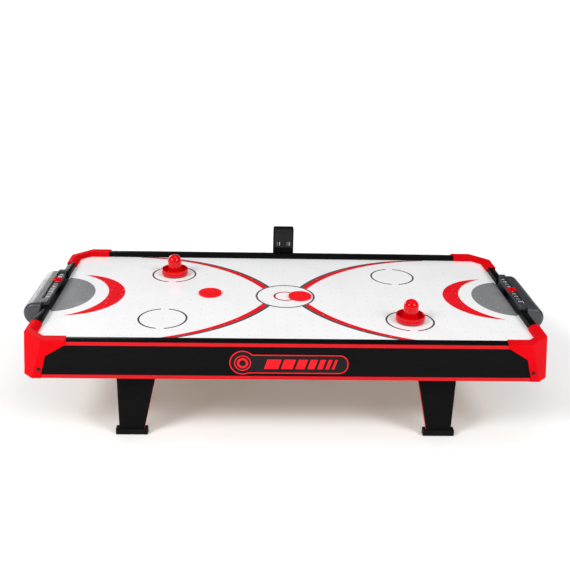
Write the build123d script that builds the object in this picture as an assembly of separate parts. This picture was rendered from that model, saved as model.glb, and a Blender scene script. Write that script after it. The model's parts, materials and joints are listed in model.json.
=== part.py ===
"""Tabletop air hockey table, in millimetres.

The design is drawn about the middle of the table: X runs from goal to goal, +Y points to the
scoreboard side and Z is height above the surface that the feet stand on.  save() then moves
every piece so that the origin is under the middle of the whole object's footprint.
"""
from build123d import *
import math
import os

# --- table -----------------------------------------------------------------------------
HALF_LENGTH = 508.0          # to the outer faces of the corner caps
HALF_WIDTH = 261.0
CAP_TOP = 220.4
RAIL_TOP = 219.8
FIELD_TOP = 208.0            # playing surface
FIELD_THICK = 5.0
FIELD_CORNER = 15.0          # cut off its corners, to clear the caps
APRON_BOTTOM = 141.0
APRON_THICK = 12.0
CAP_WALL = 2.2
RAIL_INNER_Y = 239.6         # faces that the puck bounces off
RAIL_INNER_X = 489.0
TRIM_THICK = 1.2
TRIM_LOW_TOP = 148.5
TRIM_HIGH_BOTTOM = 210.4
TRIM_HIGH_TOP = {"front": 217.6, "rear": 215.0}
CAP_LONG_END = 420.0         # where the cap's long leg stops on the front and rear
CAP_SHORT_END = 165.0        # where its short leg stops on the ends
CAP_SKEW = 3.0               # the long leg's end leans outwards by this much at its inner edge
CAP_SKIRT_START = 199.0      # where the skirt under the short leg begins
CAP_SHOULDER = (500.0, 210.4)  # the short leg's top bends down from this x to this z
CAP_EDGE_R = 1.8             # rounding of its outer edges
CAP_INSIDE_BEND = 20.0       # inner facet between its legs, in plan
CAP_PLATE = 2.2              # thickness of its top
CAP_KNEE = (460.3, 188.0)    # bend in its front skirt, (x, z)
CAP_SKIRT_X = 471.5          # lower end of the front skirt's edge
CAP_SKIRT_Y = 216.5          # and of the end skirt's
CAP_SCREW = (475.0, 226.0, 160.3)  # x of its front screw, y of its end screw, z of both
RAIL_END_X = 462.0           # where the rails' tongues stop, inside the caps
RAIL_END_Y = 213.0
TONGUE_TOP = 214.6
BUTT_GAP = 0.15              # between a rail and the end of a cap
SCREW_BORE_R = 2.1           # clearance hole of the larger screws
CHAMFER_HIGH = 42.6          # corner facet in plan, at the top of the cap
CHAMFER_LOW = 19.0           # and at the bottom of the apron
BATTEN_WIDTH = 30.0
PANEL_THICK = 3.0
PANEL_BOTTOM = 160.0

BADGE_DISC = (-88.0, 177.2)  # middle of the badge's round end, (x, z)
BADGE_DISC_R = 25.5
BADGE_END = 115.0            # right-hand end of its bar
BADGE_BAR_Z = 174.4
BADGE_BAR_HEIGHT = 40.4

# --- goals -------------------------------------------------------------------------------
GOAL_HALF = 100.0            # outer half length of a goal housing
GOAL_NECK_HALF = 88.0        # half length of the part between the end rails
GOAL_INNER_X = 494.0         # lip over the goal mouth
GOAL_POCKET_X = 486.0        # where the playing surface stops and the pocket begins
GOAL_TOP = 226.0
GOAL_BULGE = 24.0            # how far the rounded side stands out from its straight part
GOAL_ROUND_X = 519.0
GOAL_ROUND_Z = 203.0
GOAL_DROP = 27.0             # how far the rounded side reaches below that
GOAL_FLOOR = 179.0           # underside of the pocket
GOAL_REACH = (45.0, 187.0, 214.0)  # opening to reach in for a puck: half length, low and high
GOAL_FLANGE = (90.0, 162.0, 178.0, 2.5)  # screw flange: half length, low, high, thickness
HOOD_X = (496.0, 509.0)      # raised end of the score track
GOAL_WALL = 2.5
MOUTH_HALF = 81.0
MOUTH_TOP = 217.0
TRACK_X = (493.0, 510.0)     # score track on the lip, open towards the field
TRACK_LOW = -67.5            # its ends along Y
TRACK_HIGH = 84.0
TRACK_DEPTH = 1.2
SLOT_X = 506.7               # slot for the slider's stem
SLOT_HALF_WIDTH = 1.5
SLIDER_HALF_LENGTH = 7.5
SLIDER_WINDOW = (496.8, 503.8)   # opening that frames one number, along X
SLIDER_WINDOW_HALF = 4.7         # and along Y
RIDGE_HEIGHT = 2.6               # grip ridges above the top of the goal
STEM_HALF_LENGTH = 4.0
SLIDER_REST = {"left": 37.0, "right": 8.2}
GOAL_SCREW_Y = (-80, -27, 27, 80)
GOAL_SCREW_Z = 168.0

# --- legs ----------------------------------------------------------------------------------
LEG_FRONT_Y = 230.8
LEG_THICK = 12.0
LEG_OUTER_X = 334.0
LEG_INNER_LOW = (286.0, 3.0)     # inner edge of a leg, (x, z)
LEG_INNER_HIGH = (251.5, 160.0)
FOOT_X = (278.0, 341.5)
FOOT_HEIGHT = 13.0
FOOT_DEPTH = 16.0
BRACKET_X = (270.0, 320.0)
BRACKET_THICK = 2.5
EDGE_BAND = 0.5                  # edging on the inner edge of a leg
LEG_BOLT_X = (282.0, 308.0)
LEG_BOLT_Z = 150.0
LEG_BOLT_BORE_R = 3.1
BRACKET_SCREW_X = (279.0, 311.0)
BRACKET_SCREW_Y = LEG_FRONT_Y + 9.5

# --- scoreboard --------------------------------------------------------------------------
BOARD_X = 1.8
BOARD_HALF_WIDTH = 25.0
BOARD_FRONT_Y = 257.0
BOARD_DEPTH = 18.0
BOARD_BASE_TOP = 228.3
BOARD_TOP = 281.4
BOARD_WALL = 2.0
DIGIT_X = 12.2               # middle of each display from the middle of the board
DIGIT_Z = (235.0, 248.4)
CARD_Z = (232.0, 278.0)
BRACKET_PLATE = 4.0
BRACKET_LOW = 168.0          # lower end of the plate that holds the scoreboard
BRACKET_BOLT = (15.0, 178.0)  # its screws: distance from the middle, height
BUTTON_R = 4.0
BUTTON_Z = 268.0
BUTTON_TRAVEL = 1.8          # how far it stands out
BOARD_SCREWS = [(BOARD_X + sx * 17, z) for sx in (1, -1) for z in (237.0, 273.5)]

# --- fan, switch and inlet ------------------------------------------------------------------
FAN_LOW = PANEL_BOTTOM + PANEL_THICK
FAN_HALF = 46.0
FAN_HEIGHT = 25.0
FAN_BORE_R = 44.0
BLADES = 7
BLADE_TIP_R = 42.6
HUB_R = 19.0
FAN_SCREW = 41.0             # screw places along X and Y from the fan's axis
FAN_SCREW_BORE_R = 2.2
GUARD_THICK = 3.0
SHAFT_R = 1.5
BEARING_CLEARANCE = 0.05
SWITCH_X = 372.0
INLET_X = 402.0
POWER_Z = 176.0
ROCKER_R = 6.3
ROCKER_TILT = 8.0
ROCKER_CREST = 5.2           # middle of the rocker's outer side from its pivot
ROCKER_Y = HALF_WIDTH - CAP_WALL - 1.0

# --- loose pieces ---------------------------------------------------------------------------
AIR_PITCH = 25.4
AIR_HOLE_R = 0.9
AIR_COLUMNS = 18               # either side of the middle one
AIR_ROWS = 9
MALLET_R = 30.0
MALLET_RIM = 14.0
MALLET_WALL = 3.4
MALLET_FLOOR = 3.0
MALLET_HEIGHT = 48.0
KNOB_R = 15.4
PAD_THICK = 1.2
PUCK_R = 25.0
PUCK_THICK = 4.0
AIR_GAP = 0.3                # a piece on the field floats this far above it
MALLET_PLACES = {"a": (-252.3, 125.9), "b": (253.4, -126.4)}
PUCK_PLACES = {"1": (-164.2, 9.9), "2": (32.0, -3.7)}

ORIGIN_Y = (BOARD_FRONT_Y + BOARD_DEPTH - HALF_WIDTH) / 2

SIDES = {"rear": 1, "front": -1}
ENDS = {"right": 1, "left": -1}


def save(name, solids):
    """Write one node, moved from the table's middle to the object's origin."""
    pieces = list(solids) if isinstance(solids, (list, tuple)) else solids.solids()
    moved = [Pos(0, -ORIGIN_Y, 0) * piece for piece in pieces]
    for piece in moved:
        assert piece.is_valid and piece.volume > 0, name
    shape = moved[0] if len(moved) == 1 else Compound(children=moved)
    export_step(shape, f"parts/{name}.step")


def block(x, y, z):
    """A box from three (low, high) pairs."""
    size = (x[1] - x[0], y[1] - y[0], z[1] - z[0])
    return Pos((x[0] + x[1]) / 2, (y[0] + y[1]) / 2, (z[0] + z[1]) / 2) * Box(*size)


def mirrored(shape, sx, sy):
    """Carry a shape drawn in the +X +Y quarter to the quarter with these signs."""
    if sx < 0:
        shape = shape.mirror(Plane.YZ)
    if sy < 0:
        shape = shape.mirror(Plane.XZ)
    return shape


def prism(plane, points, low, high):
    """Extrude a polygon drawn on a plane, between two distances along its normal."""
    face = plane.offset(low) * make_face(Polyline(*points, close=True))
    return extrude(face, amount=high - low, dir=plane.z_dir)


FACING_X = Plane(origin=(0, 0, 0), x_dir=(0, 1, 0), z_dir=(1, 0, 0))   # (y, z) points
FACING_Y = Plane(origin=(0, 0, 0), x_dir=(-1, 0, 0), z_dir=(0, 1, 0))  # (-x, z) points


def along_y(points, low, high):
    """Extrude an (x, z) outline along Y."""
    return prism(FACING_Y, [(-x, z) for x, z in points], low, high)


def envelope(inset, top=CAP_TOP + 1):
    """The table's outside with its four leaning corner facets, all faces moved in by inset."""
    slope = (CHAMFER_HIGH - CHAMFER_LOW) / (CAP_TOP - APRON_BOTTOM)

    def outline(z):
        x = HALF_LENGTH - inset
        y = HALF_WIDTH - inset
        leg = CHAMFER_LOW + slope * (z - APRON_BOTTOM)
        cut = leg - (2 - math.sqrt(2)) * inset
        quarter = [(x, y - cut), (x - cut, y)]
        points = quarter + [(-px, py) for px, py in reversed(quarter)]
        points += [(-px, -py) for px, py in quarter] + [(px, -py) for px, py in reversed(quarter)]
        return Pos(0, 0, z) * make_face(Polyline(*points, close=True))
    return loft([outline(APRON_BOTTOM - 1), outline(top)], ruled=True)


def softened_envelope():
    """The outside of the caps: the envelope with its upper and corner edges rounded."""
    solid = envelope(0, CAP_TOP)
    return fillet(solid.edges().group_by(Axis.Z)[1:], CAP_EDGE_R)


SHELL = softened_envelope()
CORE = envelope(CAP_WALL)
WOOD = envelope(CAP_WALL + 0.2)
BODY_X = HALF_LENGTH - CAP_WALL      # outer faces of the apron boards
BODY_Y = HALF_WIDTH - CAP_WALL
APRON_INNER_X = BODY_X - APRON_THICK
APRON_INNER_Y = BODY_Y - APRON_THICK
CAP_INNER_X = RAIL_INNER_X - 2       # faces of the caps that the puck bounces off
CAP_INNER_Y = RAIL_INNER_Y - 2
BATTEN_Z = (PANEL_BOTTOM + PANEL_THICK, FIELD_TOP - FIELD_THICK)
BATTEN_INNER_Y = APRON_INNER_Y - BATTEN_WIDTH
END_BATTEN_X = (GOAL_POCKET_X - 6 - BATTEN_WIDTH, GOAL_POCKET_X - 6)


def playfield():
    """White laminated board, cut away at the goals, with a square grid of air holes."""
    x = APRON_INNER_X
    y = APRON_INNER_Y
    goal_x = GOAL_POCKET_X
    goal_y = GOAL_NECK_HALF + 0.5
    quarter = [(goal_x, goal_y), (x, goal_y), (x, y - FIELD_CORNER), (x - FIELD_CORNER, y)]
    outline = quarter + [(-px, py) for px, py in reversed(quarter)]
    outline += [(-px, -py) for px, py in quarter] + [(px, -py) for px, py in reversed(quarter)]
    columns = range(-AIR_COLUMNS, AIR_COLUMNS + 1)
    rows = range(-AIR_ROWS, AIR_ROWS + 1)
    holes = [Wire.make_circle(AIR_HOLE_R, Plane((i * AIR_PITCH, j * AIR_PITCH, 0)))
             for i in columns for j in rows]
    sheet = Face(Wire.make_polygon(outline, close=True), holes)
    return Pos(0, 0, FIELD_TOP - FIELD_THICK) * extrude(sheet, FIELD_THICK, dir=(0, 0, 1))


def bottom_panel():
    panel = block((-APRON_INNER_X, APRON_INNER_X), (-APRON_INNER_Y, APRON_INNER_Y),
                  (PANEL_BOTTOM, PANEL_BOTTOM + PANEL_THICK))
    panel -= Pos(0, 0, PANEL_BOTTOM) * Cylinder(FAN_BORE_R - 1, 20)
    for sx in (1, -1):
        for sy in (1, -1):
            panel -= Pos(sx * FAN_SCREW, sy * FAN_SCREW, PANEL_BOTTOM) * Cylinder(FAN_SCREW_BORE_R, 20)
    for s in (1, -1):
        panel -= mirrored(block((GOAL_POCKET_X - 1, 520), (-GOAL_NECK_HALF, GOAL_NECK_HALF),
                                (150, 170)), s, 1)
    return panel & WOOD


def long_batten(sy):
    batten = block((-END_BATTEN_X[1], END_BATTEN_X[1]), (BATTEN_INNER_Y, APRON_INNER_Y), BATTEN_Z)
    if sy > 0:
        batten -= block((SWITCH_X - 14, INLET_X + 12), (BATTEN_INNER_Y - 1, APRON_INNER_Y + 1),
                        (POWER_Z - 11, POWER_Z + 11))
    return mirrored(batten & WOOD, 1, sy)


def end_batten(sx):
    return mirrored(block(END_BATTEN_X, (-BATTEN_INNER_Y, BATTEN_INNER_Y), BATTEN_Z), sx, 1)


def long_apron(sy):
    apron = block((-BODY_X, BODY_X), (APRON_INNER_Y, BODY_Y), (APRON_BOTTOM, FIELD_TOP))
    if sy > 0:
        apron -= block((SWITCH_X - 10, SWITCH_X + 10), (240, 265), (POWER_Z - 7, POWER_Z + 7))
        apron -= Pos(INLET_X, BODY_Y, POWER_Z) * Rot(90, 0, 0) * Cylinder(5.5, 40)
    return mirrored(apron & WOOD, 1, sy)


def end_apron(sx):
    apron = block((APRON_INNER_X, BODY_X), (-APRON_INNER_Y, APRON_INNER_Y), (APRON_BOTTOM, FIELD_TOP))
    apron -= block((480, 520), (-GOAL_NECK_HALF - 0.1, GOAL_NECK_HALF + 0.1),
                   (GOAL_FLOOR - 0.1, RAIL_TOP))
    return mirrored(apron & WOOD, sx, 1)


def rail_section(inner, outer):
    """Outline of a rail across its length: a bounce face and a top that falls away outwards."""
    return [(inner, FIELD_TOP), (inner, RAIL_TOP - 1.4), (inner + 0.5, RAIL_TOP - 0.5),
            (inner + 1.6, RAIL_TOP), (inner + 7.5, RAIL_TOP), (outer - 5.0, RAIL_TOP - 0.9),
            (outer - 1.2, RAIL_TOP - 1.9), (outer, RAIL_TOP - 3.0), (outer, FIELD_TOP)]


def tongue_section(inner, outer):
    """Outline of the lower end of a rail, which a cap slides over."""
    return [(inner + 2.8, FIELD_TOP), (outer - 0.3, FIELD_TOP), (outer - 0.3, TONGUE_TOP),
            (inner + 2.8, TONGUE_TOP)]


def long_rail(sy):
    """Rail between two caps, its ends cut to their slant, with a tongue into each."""
    reach = CAP_LONG_END + CAP_SKEW
    rail = prism(FACING_X, rail_section(RAIL_INNER_Y, BODY_Y), -reach, reach)
    inner = CAP_LONG_END + CAP_SKEW - BUTT_GAP
    outer = CAP_LONG_END - BUTT_GAP
    plan = Polyline((-inner, CAP_INNER_Y), (inner, CAP_INNER_Y), (outer, HALF_WIDTH),
                    (-outer, HALF_WIDTH), close=True)
    rail &= Pos(0, 0, FIELD_TOP) * extrude(make_face(plan), RAIL_TOP - FIELD_TOP)
    rail += prism(FACING_X, tongue_section(RAIL_INNER_Y, BODY_Y), -RAIL_END_X, RAIL_END_X)
    return mirrored(rail, 1, sy)


def end_rail(sx, sy):
    start = GOAL_NECK_HALF + 0.2
    rail = along_y(rail_section(RAIL_INNER_X, BODY_X), start, CAP_SHORT_END - BUTT_GAP)
    rail += along_y(tongue_section(RAIL_INNER_X, BODY_X), start, RAIL_END_Y)
    return mirrored(rail, sx, sy)


def high_trim(side):
    """Strip between the caps; the rear one is lower, so that it hides behind its rail."""
    strip = block((-CAP_LONG_END, CAP_LONG_END), (BODY_Y, BODY_Y + TRIM_THICK),
                  (TRIM_HIGH_BOTTOM, TRIM_HIGH_TOP[side]))
    edges = strip.edges().filter_by(Axis.X).group_by(Axis.Y)[-1]
    return mirrored(fillet(edges, 0.5), 1, SIDES[side])


def low_trim(sy):
    reach = CAP_SKIRT_X - 0.5
    strip = block((-reach, reach), (BODY_Y, BODY_Y + TRIM_THICK), (APRON_BOTTOM, TRIM_LOW_TOP))
    edges = strip.edges().filter_by(Axis.X).group_by(Axis.Y)[-1]
    return mirrored(fillet(edges, 0.5), 1, sy)


def end_low_trim(sx):
    reach = CAP_SKIRT_Y - 0.5
    strip = block((BODY_X, BODY_X + TRIM_THICK), (-reach, reach), (APRON_BOTTOM, TRIM_LOW_TOP))
    edges = strip.edges().filter_by(Axis.Y).group_by(Axis.X)[-1]
    return mirrored(fillet(edges, 0.5), sx, 1)


def cap_skirts():
    """The cap's thin sides, down to the bottom of the aprons."""
    above = CAP_TOP + 2
    below = APRON_BOTTOM - 1
    front = along_y([(CAP_LONG_END, above), (CAP_LONG_END, TRIM_HIGH_BOTTOM + 1),
                     (CAP_LONG_END + 5.5, TRIM_HIGH_BOTTOM - 0.8), CAP_KNEE,
                     (CAP_SKIRT_X, TRIM_LOW_TOP), (CAP_SKIRT_X, below),
                     (HALF_LENGTH + 5, below), (HALF_LENGTH + 5, above)], BODY_Y, HALF_WIDTH + 1)
    end = prism(FACING_X, [(CAP_SKIRT_START, above), (CAP_SKIRT_START, FIELD_TOP - 3),
                           (CAP_SKIRT_Y - 8, CAP_KNEE[1]), (CAP_SKIRT_Y, TRIM_LOW_TOP),
                           (CAP_SKIRT_Y, below), (HALF_WIDTH + 5, below),
                           (HALF_WIDTH + 5, above)], BODY_X, HALF_LENGTH + 1)
    corner = block((RAIL_END_X, BODY_X), (RAIL_END_Y - 1, BODY_Y), (APRON_BOTTOM, CAP_TOP))
    inside = block((400, 520), (150, 270), (APRON_BOTTOM, CAP_TOP))
    return (front + end + (corner - CORE)) & SHELL & inside


def cap_crown():
    """The cap's top: a flat plate round the corner and a short leg with a rounded shoulder."""
    bend = CAP_INSIDE_BEND
    ridge, spring = CAP_SHOULDER
    knee = CAP_INNER_Y + CAP_INNER_X - bend - ridge
    plan = [(CAP_LONG_END + CAP_SKEW, CAP_INNER_Y), (CAP_INNER_X - bend, CAP_INNER_Y), (ridge, knee),
            (BODY_X, knee), (BODY_X, BODY_Y), (CAP_LONG_END, BODY_Y)]
    crown = Pos(0, 0, FIELD_TOP) * extrude(make_face(Polyline(*plan, close=True)), CAP_TOP - FIELD_TOP)
    shoulder = EllipticalCenterArc((-ridge, spring), ridge - CAP_INNER_X, CAP_TOP - spring, 0, arc_size=90)
    rest = Polyline((-ridge, CAP_TOP), (-HALF_LENGTH, CAP_TOP), (-HALF_LENGTH, FIELD_TOP),
                    (-CAP_INNER_X, FIELD_TOP), (-CAP_INNER_X, spring))
    face = FACING_Y.offset(CAP_SHORT_END) * make_face([shoulder] + rest.edges())
    crown += extrude(face, CAP_INNER_Y - bend - CAP_SHORT_END + 1, dir=(0, 1, 0))
    crown &= SHELL
    crown -= block((BODY_X, 520), (CAP_SKIRT_START, 270), (FIELD_TOP, CAP_TOP))
    return crown


def cap_pockets():
    """Hollows on the underside of the crown, two of them for the rails' tongues."""
    low = FIELD_TOP - 1
    corner_top = TONGUE_TOP + 0.4
    gap = RAIL_END_X + 0.3
    long_pocket = block((CAP_LONG_END - 1, gap), (RAIL_INNER_Y, BODY_Y), (low, CAP_TOP - CAP_PLATE))
    short_pocket = block((RAIL_INNER_X + 2.5, BODY_X), (CAP_SHORT_END - 1, RAIL_END_Y + 0.3),
                         (low, corner_top))
    outline = [(gap - 1, 246), (gap + 2, 246), (494, RAIL_END_Y + 2), (BODY_X + 1, RAIL_END_Y + 2),
               (BODY_X + 1, BODY_Y + 1), (gap - 1, BODY_Y + 1)]
    corner = Pos(0, 0, low) * extrude(make_face(Polyline(*outline, close=True)), corner_top - low)
    return long_pocket + short_pocket + (corner & CORE)


def corner_cap(sx, sy):
    """Faceted moulding that sleeves a corner of the body and covers the ends of two rails."""
    cap = cap_skirts() + cap_crown() - cap_pockets()
    x, y, z = CAP_SCREW
    for place in (Pos(x, HALF_WIDTH, z) * Rot(90, 0, 0), Pos(HALF_LENGTH, y, z) * Rot(0, 90, 0)):
        cap -= place * Cylinder(SCREW_BORE_R, 12)
    return mirrored(cap, sx, sy)


def pan_screw(head_r, shank_r, length):
    """Pan-head screw along +Z, with the underside of its head at the origin."""
    head = Pos(0, 0, head_r * 0.3) * Cylinder(head_r, head_r * 0.6)
    head = fillet(head.edges().group_by(Axis.Z)[-1], head_r * 0.4)
    shank = Pos(0, 0, -length / 2) * Cylinder(shank_r, length)
    recess = Pos(0, 0, head_r * 0.55) * (Box(head_r, head_r * 0.25, head_r * 0.5)
                                         + Box(head_r * 0.25, head_r, head_r * 0.5))
    return head + shank - recess


def corner_cap_screws():
    screw = pan_screw(3.6, 1.8, 12)
    x, y, z = CAP_SCREW
    screws = []
    for sx in (1, -1):
        for sy in (1, -1):
            screws.append(Pos(sx * x, sy * HALF_WIDTH, z) * Rot(-90 * sy, 0, 0) * screw)
            screws.append(Pos(sx * HALF_LENGTH, sy * y, z) * Rot(0, 90 * sx, 0) * screw)
    return screws


def goal_outline(inset):
    """Outline of a goal housing's rounded side, from its top to its bottom."""
    cx = GOAL_ROUND_X
    cz = GOAL_ROUND_Z
    out = GOAL_BULGE - inset
    up = GOAL_TOP - cz - inset
    down = GOAL_DROP - inset
    start = BODY_X + inset
    upper = EllipticalCenterArc((-cx, cz), out, up, 90, arc_size=90)
    lower = EllipticalCenterArc((-cx, cz), out, down, 180, arc_size=90)
    lines = Polyline((-cx, cz - down), (-start, cz - down), (-start, cz + up), (-cx, cz + up))
    return make_face([upper, lower] + lines.edges())


def goal_housing(name):
    """Moulded goal: a lip over the mouth, a puck pocket behind it and a score track on top."""
    outer = FACING_Y.offset(-GOAL_HALF) * goal_outline(0)
    body = extrude(outer, 2 * GOAL_HALF, dir=(0, 1, 0))
    ends = body.edges().filter_by(Axis.Y, reverse=True).filter_by(
        lambda e: e.center().X > GOAL_ROUND_X + 4)
    body = fillet(ends, 9.0)
    body += block((GOAL_INNER_X, BODY_X + 1), (-GOAL_NECK_HALF, GOAL_NECK_HALF), (FIELD_TOP, GOAL_TOP))
    body += block((GOAL_POCKET_X, BODY_X + 1), (-GOAL_NECK_HALF, GOAL_NECK_HALF),
                  (GOAL_FLOOR, FIELD_TOP))
    lip = body.edges().filter_by(Axis.Y).group_by(Axis.Z)[-1].sort_by(Axis.X)[0]
    body = fillet(lip, 1.5)
    inner = FACING_Y.offset(-GOAL_HALF + GOAL_WALL + 4) * goal_outline(GOAL_WALL)
    half = MOUTH_HALF
    body -= extrude(inner, 2 * (GOAL_HALF - GOAL_WALL - 4), dir=(0, 1, 0))
    floor = GOAL_FLOOR + GOAL_WALL
    body -= block((GOAL_POCKET_X + GOAL_WALL, BODY_X + 5), (-half, half), (floor, MOUTH_TOP))
    body -= block((GOAL_INNER_X + GOAL_WALL, BODY_X + 5), (-half, half), (MOUTH_TOP, GOAL_TOP - GOAL_WALL))
    body -= block((GOAL_POCKET_X - 5, 500), (-half, half), (FIELD_TOP, MOUTH_TOP))
    reach, reach_low, reach_high = GOAL_REACH
    opening = block((GOAL_ROUND_X + 5, 560), (-reach, reach), (reach_low, reach_high))
    body -= fillet(opening.edges().filter_by(Axis.X), 8)
    body -= block(TRACK_X, (TRACK_LOW, TRACK_HIGH), (GOAL_TOP - TRACK_DEPTH, GOAL_TOP + 5))
    reserve = SLIDER_HALF_LENGTH - STEM_HALF_LENGTH - 1
    body -= block((SLOT_X - SLOT_HALF_WIDTH, SLOT_X + SLOT_HALF_WIDTH),
                  (TRACK_LOW + reserve, TRACK_HIGH - reserve), (GOAL_TOP - 8, GOAL_TOP + 5))
    reach, low, high, thick = GOAL_FLANGE
    flange = block((BODY_X, BODY_X + thick), (-reach, reach), (low, high))
    flange = fillet(flange.edges().filter_by(Axis.X), 4)
    body += flange
    for y in GOAL_SCREW_Y:
        body -= Pos(BODY_X, y, GOAL_SCREW_Z) * Rot(0, 90, 0) * Cylinder(SCREW_BORE_R, 12)
    hood = block(HOOD_X, (TRACK_HIGH + 1, GOAL_NECK_HALF + 9), (RAIL_TOP + 0.2, GOAL_TOP + 3))
    body += fillet(hood.edges().filter_by(Axis.X).group_by(Axis.Z)[-1], 3)
    return mirrored(body, ENDS[name], 1)


def goal_screws():
    screw = pan_screw(3.4, 1.8, 12)
    return [Pos(s * (BODY_X + GOAL_FLANGE[3]), y, GOAL_SCREW_Z) * Rot(0, 90 * s, 0) * screw
            for s in (1, -1) for y in GOAL_SCREW_Y]


def score_slider(name):
    """Frame round one number, with two grip ridges: it rides in the track and hooks over the lip."""
    gap = 0.3
    low = GOAL_TOP - TRACK_DEPTH + gap
    front = GOAL_INNER_X - gap - 1.4
    rear = TRACK_X[1] - gap
    length = (-SLIDER_HALF_LENGTH, SLIDER_HALF_LENGTH)
    body = block((front, rear), length, (low, GOAL_TOP + 1.2))
    body += block((front, GOAL_INNER_X - gap), length, (GOAL_TOP - 2.2, GOAL_TOP + 1.2))
    for side in (1, -1):
        y = side * (SLIDER_HALF_LENGTH - 1.4)
        ridge = block((front, rear), (y - 1.3, y + 1.3), (GOAL_TOP + gap, GOAL_TOP + RIDGE_HEIGHT))
        body += fillet(ridge.edges().filter_by(Axis.X).group_by(Axis.Z)[-1], 0.9)
    body -= block(SLIDER_WINDOW, (-SLIDER_WINDOW_HALF, SLIDER_WINDOW_HALF), (low - 1, GOAL_TOP + 5))
    under = GOAL_TOP - GOAL_WALL - gap
    stem = (-STEM_HALF_LENGTH, STEM_HALF_LENGTH)
    body += block((SLOT_X - SLOT_HALF_WIDTH + gap, SLOT_X + SLOT_HALF_WIDTH - gap), stem, (under - 1.5, low))
    body += block((SLOT_X - 3.2, SLOT_X + 3.2), stem, (under - 1.5, under))
    return mirrored(Pos(0, SLIDER_REST[name], 0) * body, ENDS[name], 1)


def leg_outline(inset):
    """(x, z) outline of a leg, its inner edge moved in by inset."""
    x, z = LEG_INNER_LOW
    return [(x + inset, z), (LEG_OUTER_X, z), (LEG_OUTER_X, PANEL_BOTTOM),
            (LEG_INNER_HIGH[0] + inset, PANEL_BOTTOM)]


def leg_panel(points):
    return along_y(points, LEG_FRONT_Y - LEG_THICK, LEG_FRONT_Y)


def leg(sx, sy):
    panel = leg_panel(leg_outline(EDGE_BAND))
    for x in LEG_BOLT_X:
        panel -= Pos(x, LEG_FRONT_Y, LEG_BOLT_Z) * Rot(90, 0, 0) * Cylinder(LEG_BOLT_BORE_R, 60)
    return mirrored(panel, sx, sy)


def leg_edge_band(sx, sy):
    """Edging strip on a leg's inner edge."""
    edge = leg_outline(0)
    board = leg_outline(EDGE_BAND)
    return mirrored(leg_panel([edge[0], board[0], board[3], edge[3]]), sx, sy)


def foot(sx, sy):
    """Moulded shoe that the leg's lower end stands in."""
    middle = LEG_FRONT_Y - LEG_THICK / 2
    shoe = block(FOOT_X, (middle - FOOT_DEPTH / 2, middle + FOOT_DEPTH / 2), (0, FOOT_HEIGHT))
    shoe = fillet(shoe.edges().filter_by(Axis.Z), 1.5)
    shoe = chamfer(shoe.edges().group_by(Axis.Z)[-1], 0.8)
    shoe -= leg_panel(leg_outline(0))
    return mirrored(shoe, sx, sy)


def leg_bracket(sx, sy):
    """Pressed steel angle between the bottom panel and the leg's outer face."""
    y = LEG_FRONT_Y
    flat = block(BRACKET_X, (y, y + 16), (PANEL_BOTTOM - BRACKET_THICK, PANEL_BOTTOM))
    side = block(BRACKET_X, (y, y + BRACKET_THICK), (PANEL_BOTTOM - 18, PANEL_BOTTOM))
    angle = flat + side
    for x in BRACKET_SCREW_X:
        angle -= Pos(x, BRACKET_SCREW_Y, PANEL_BOTTOM) * Cylinder(SCREW_BORE_R, 12)
    for x in LEG_BOLT_X:
        angle -= Pos(x, y, LEG_BOLT_Z) * Rot(90, 0, 0) * Cylinder(LEG_BOLT_BORE_R, 12)
    return mirrored(angle, sx, sy)


def leg_bolt():
    """Hex bolt along +Z with its nut, gripping the bracket and the leg between them."""
    grip = LEG_THICK + BRACKET_THICK
    head = Pos(0, 0, 2) * extrude(RegularPolygon(5, 6), 2, both=True)
    shank = Pos(0, 0, -(grip + 5) / 2) * Cylinder(3.0, grip + 5)
    nut = Pos(0, 0, -grip - 2) * extrude(RegularPolygon(5, 6) - Circle(3.05), 2, both=True)
    return head + shank, nut


def leg_fasteners():
    """The bolts with their nuts, and the bracket screws."""
    bolt, nut = leg_bolt()
    screw = pan_screw(3.6, 1.8, 14)
    bolts = []
    screws = []
    for sx in (1, -1):
        for sy in (1, -1):
            for x in LEG_BOLT_X:
                place = Pos(sx * x, sy * (LEG_FRONT_Y + BRACKET_THICK), LEG_BOLT_Z) * Rot(-90 * sy, 0, 0)
                bolts += [place * bolt, place * nut]
            for x in BRACKET_SCREW_X:
                screws.append(Pos(sx * x, sy * BRACKET_SCREW_Y, PANEL_BOTTOM - BRACKET_THICK)
                              * Rot(180, 0, 0) * screw)
    return bolts, screws


def panel_screws():
    """Screws that hold the bottom panel up against the battens."""
    screw = pan_screw(3.6, 1.8, 14)
    long_places = [(x, s * (BATTEN_INNER_Y + 9)) for x in (-420, -200, 0, 200, 420) for s in (1, -1)]
    end_places = [(s * sum(END_BATTEN_X) / 2, y) for y in (-140, 140) for s in (1, -1)]
    return [Pos(x, y, PANEL_BOTTOM) * Rot(180, 0, 0) * screw for x, y in long_places + end_places]


def badge():
    """Raised name plate: a round end and a long bar, left without any name."""
    disc = Pos(*BADGE_DISC) * Circle(BADGE_DISC_R)
    length = BADGE_END - BADGE_DISC[0]
    bar = Pos(BADGE_DISC[0] + length / 2, BADGE_BAR_Z) * RectangleRounded(length, BADGE_BAR_HEIGHT, 18)
    face = FACING_Y * (Rot(0, 180, 0) * (disc + bar))
    plate = extrude(face, 1.0, dir=(0, 1, 0))
    return Pos(0, -BODY_Y - 1.0, 0) * plate


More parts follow.
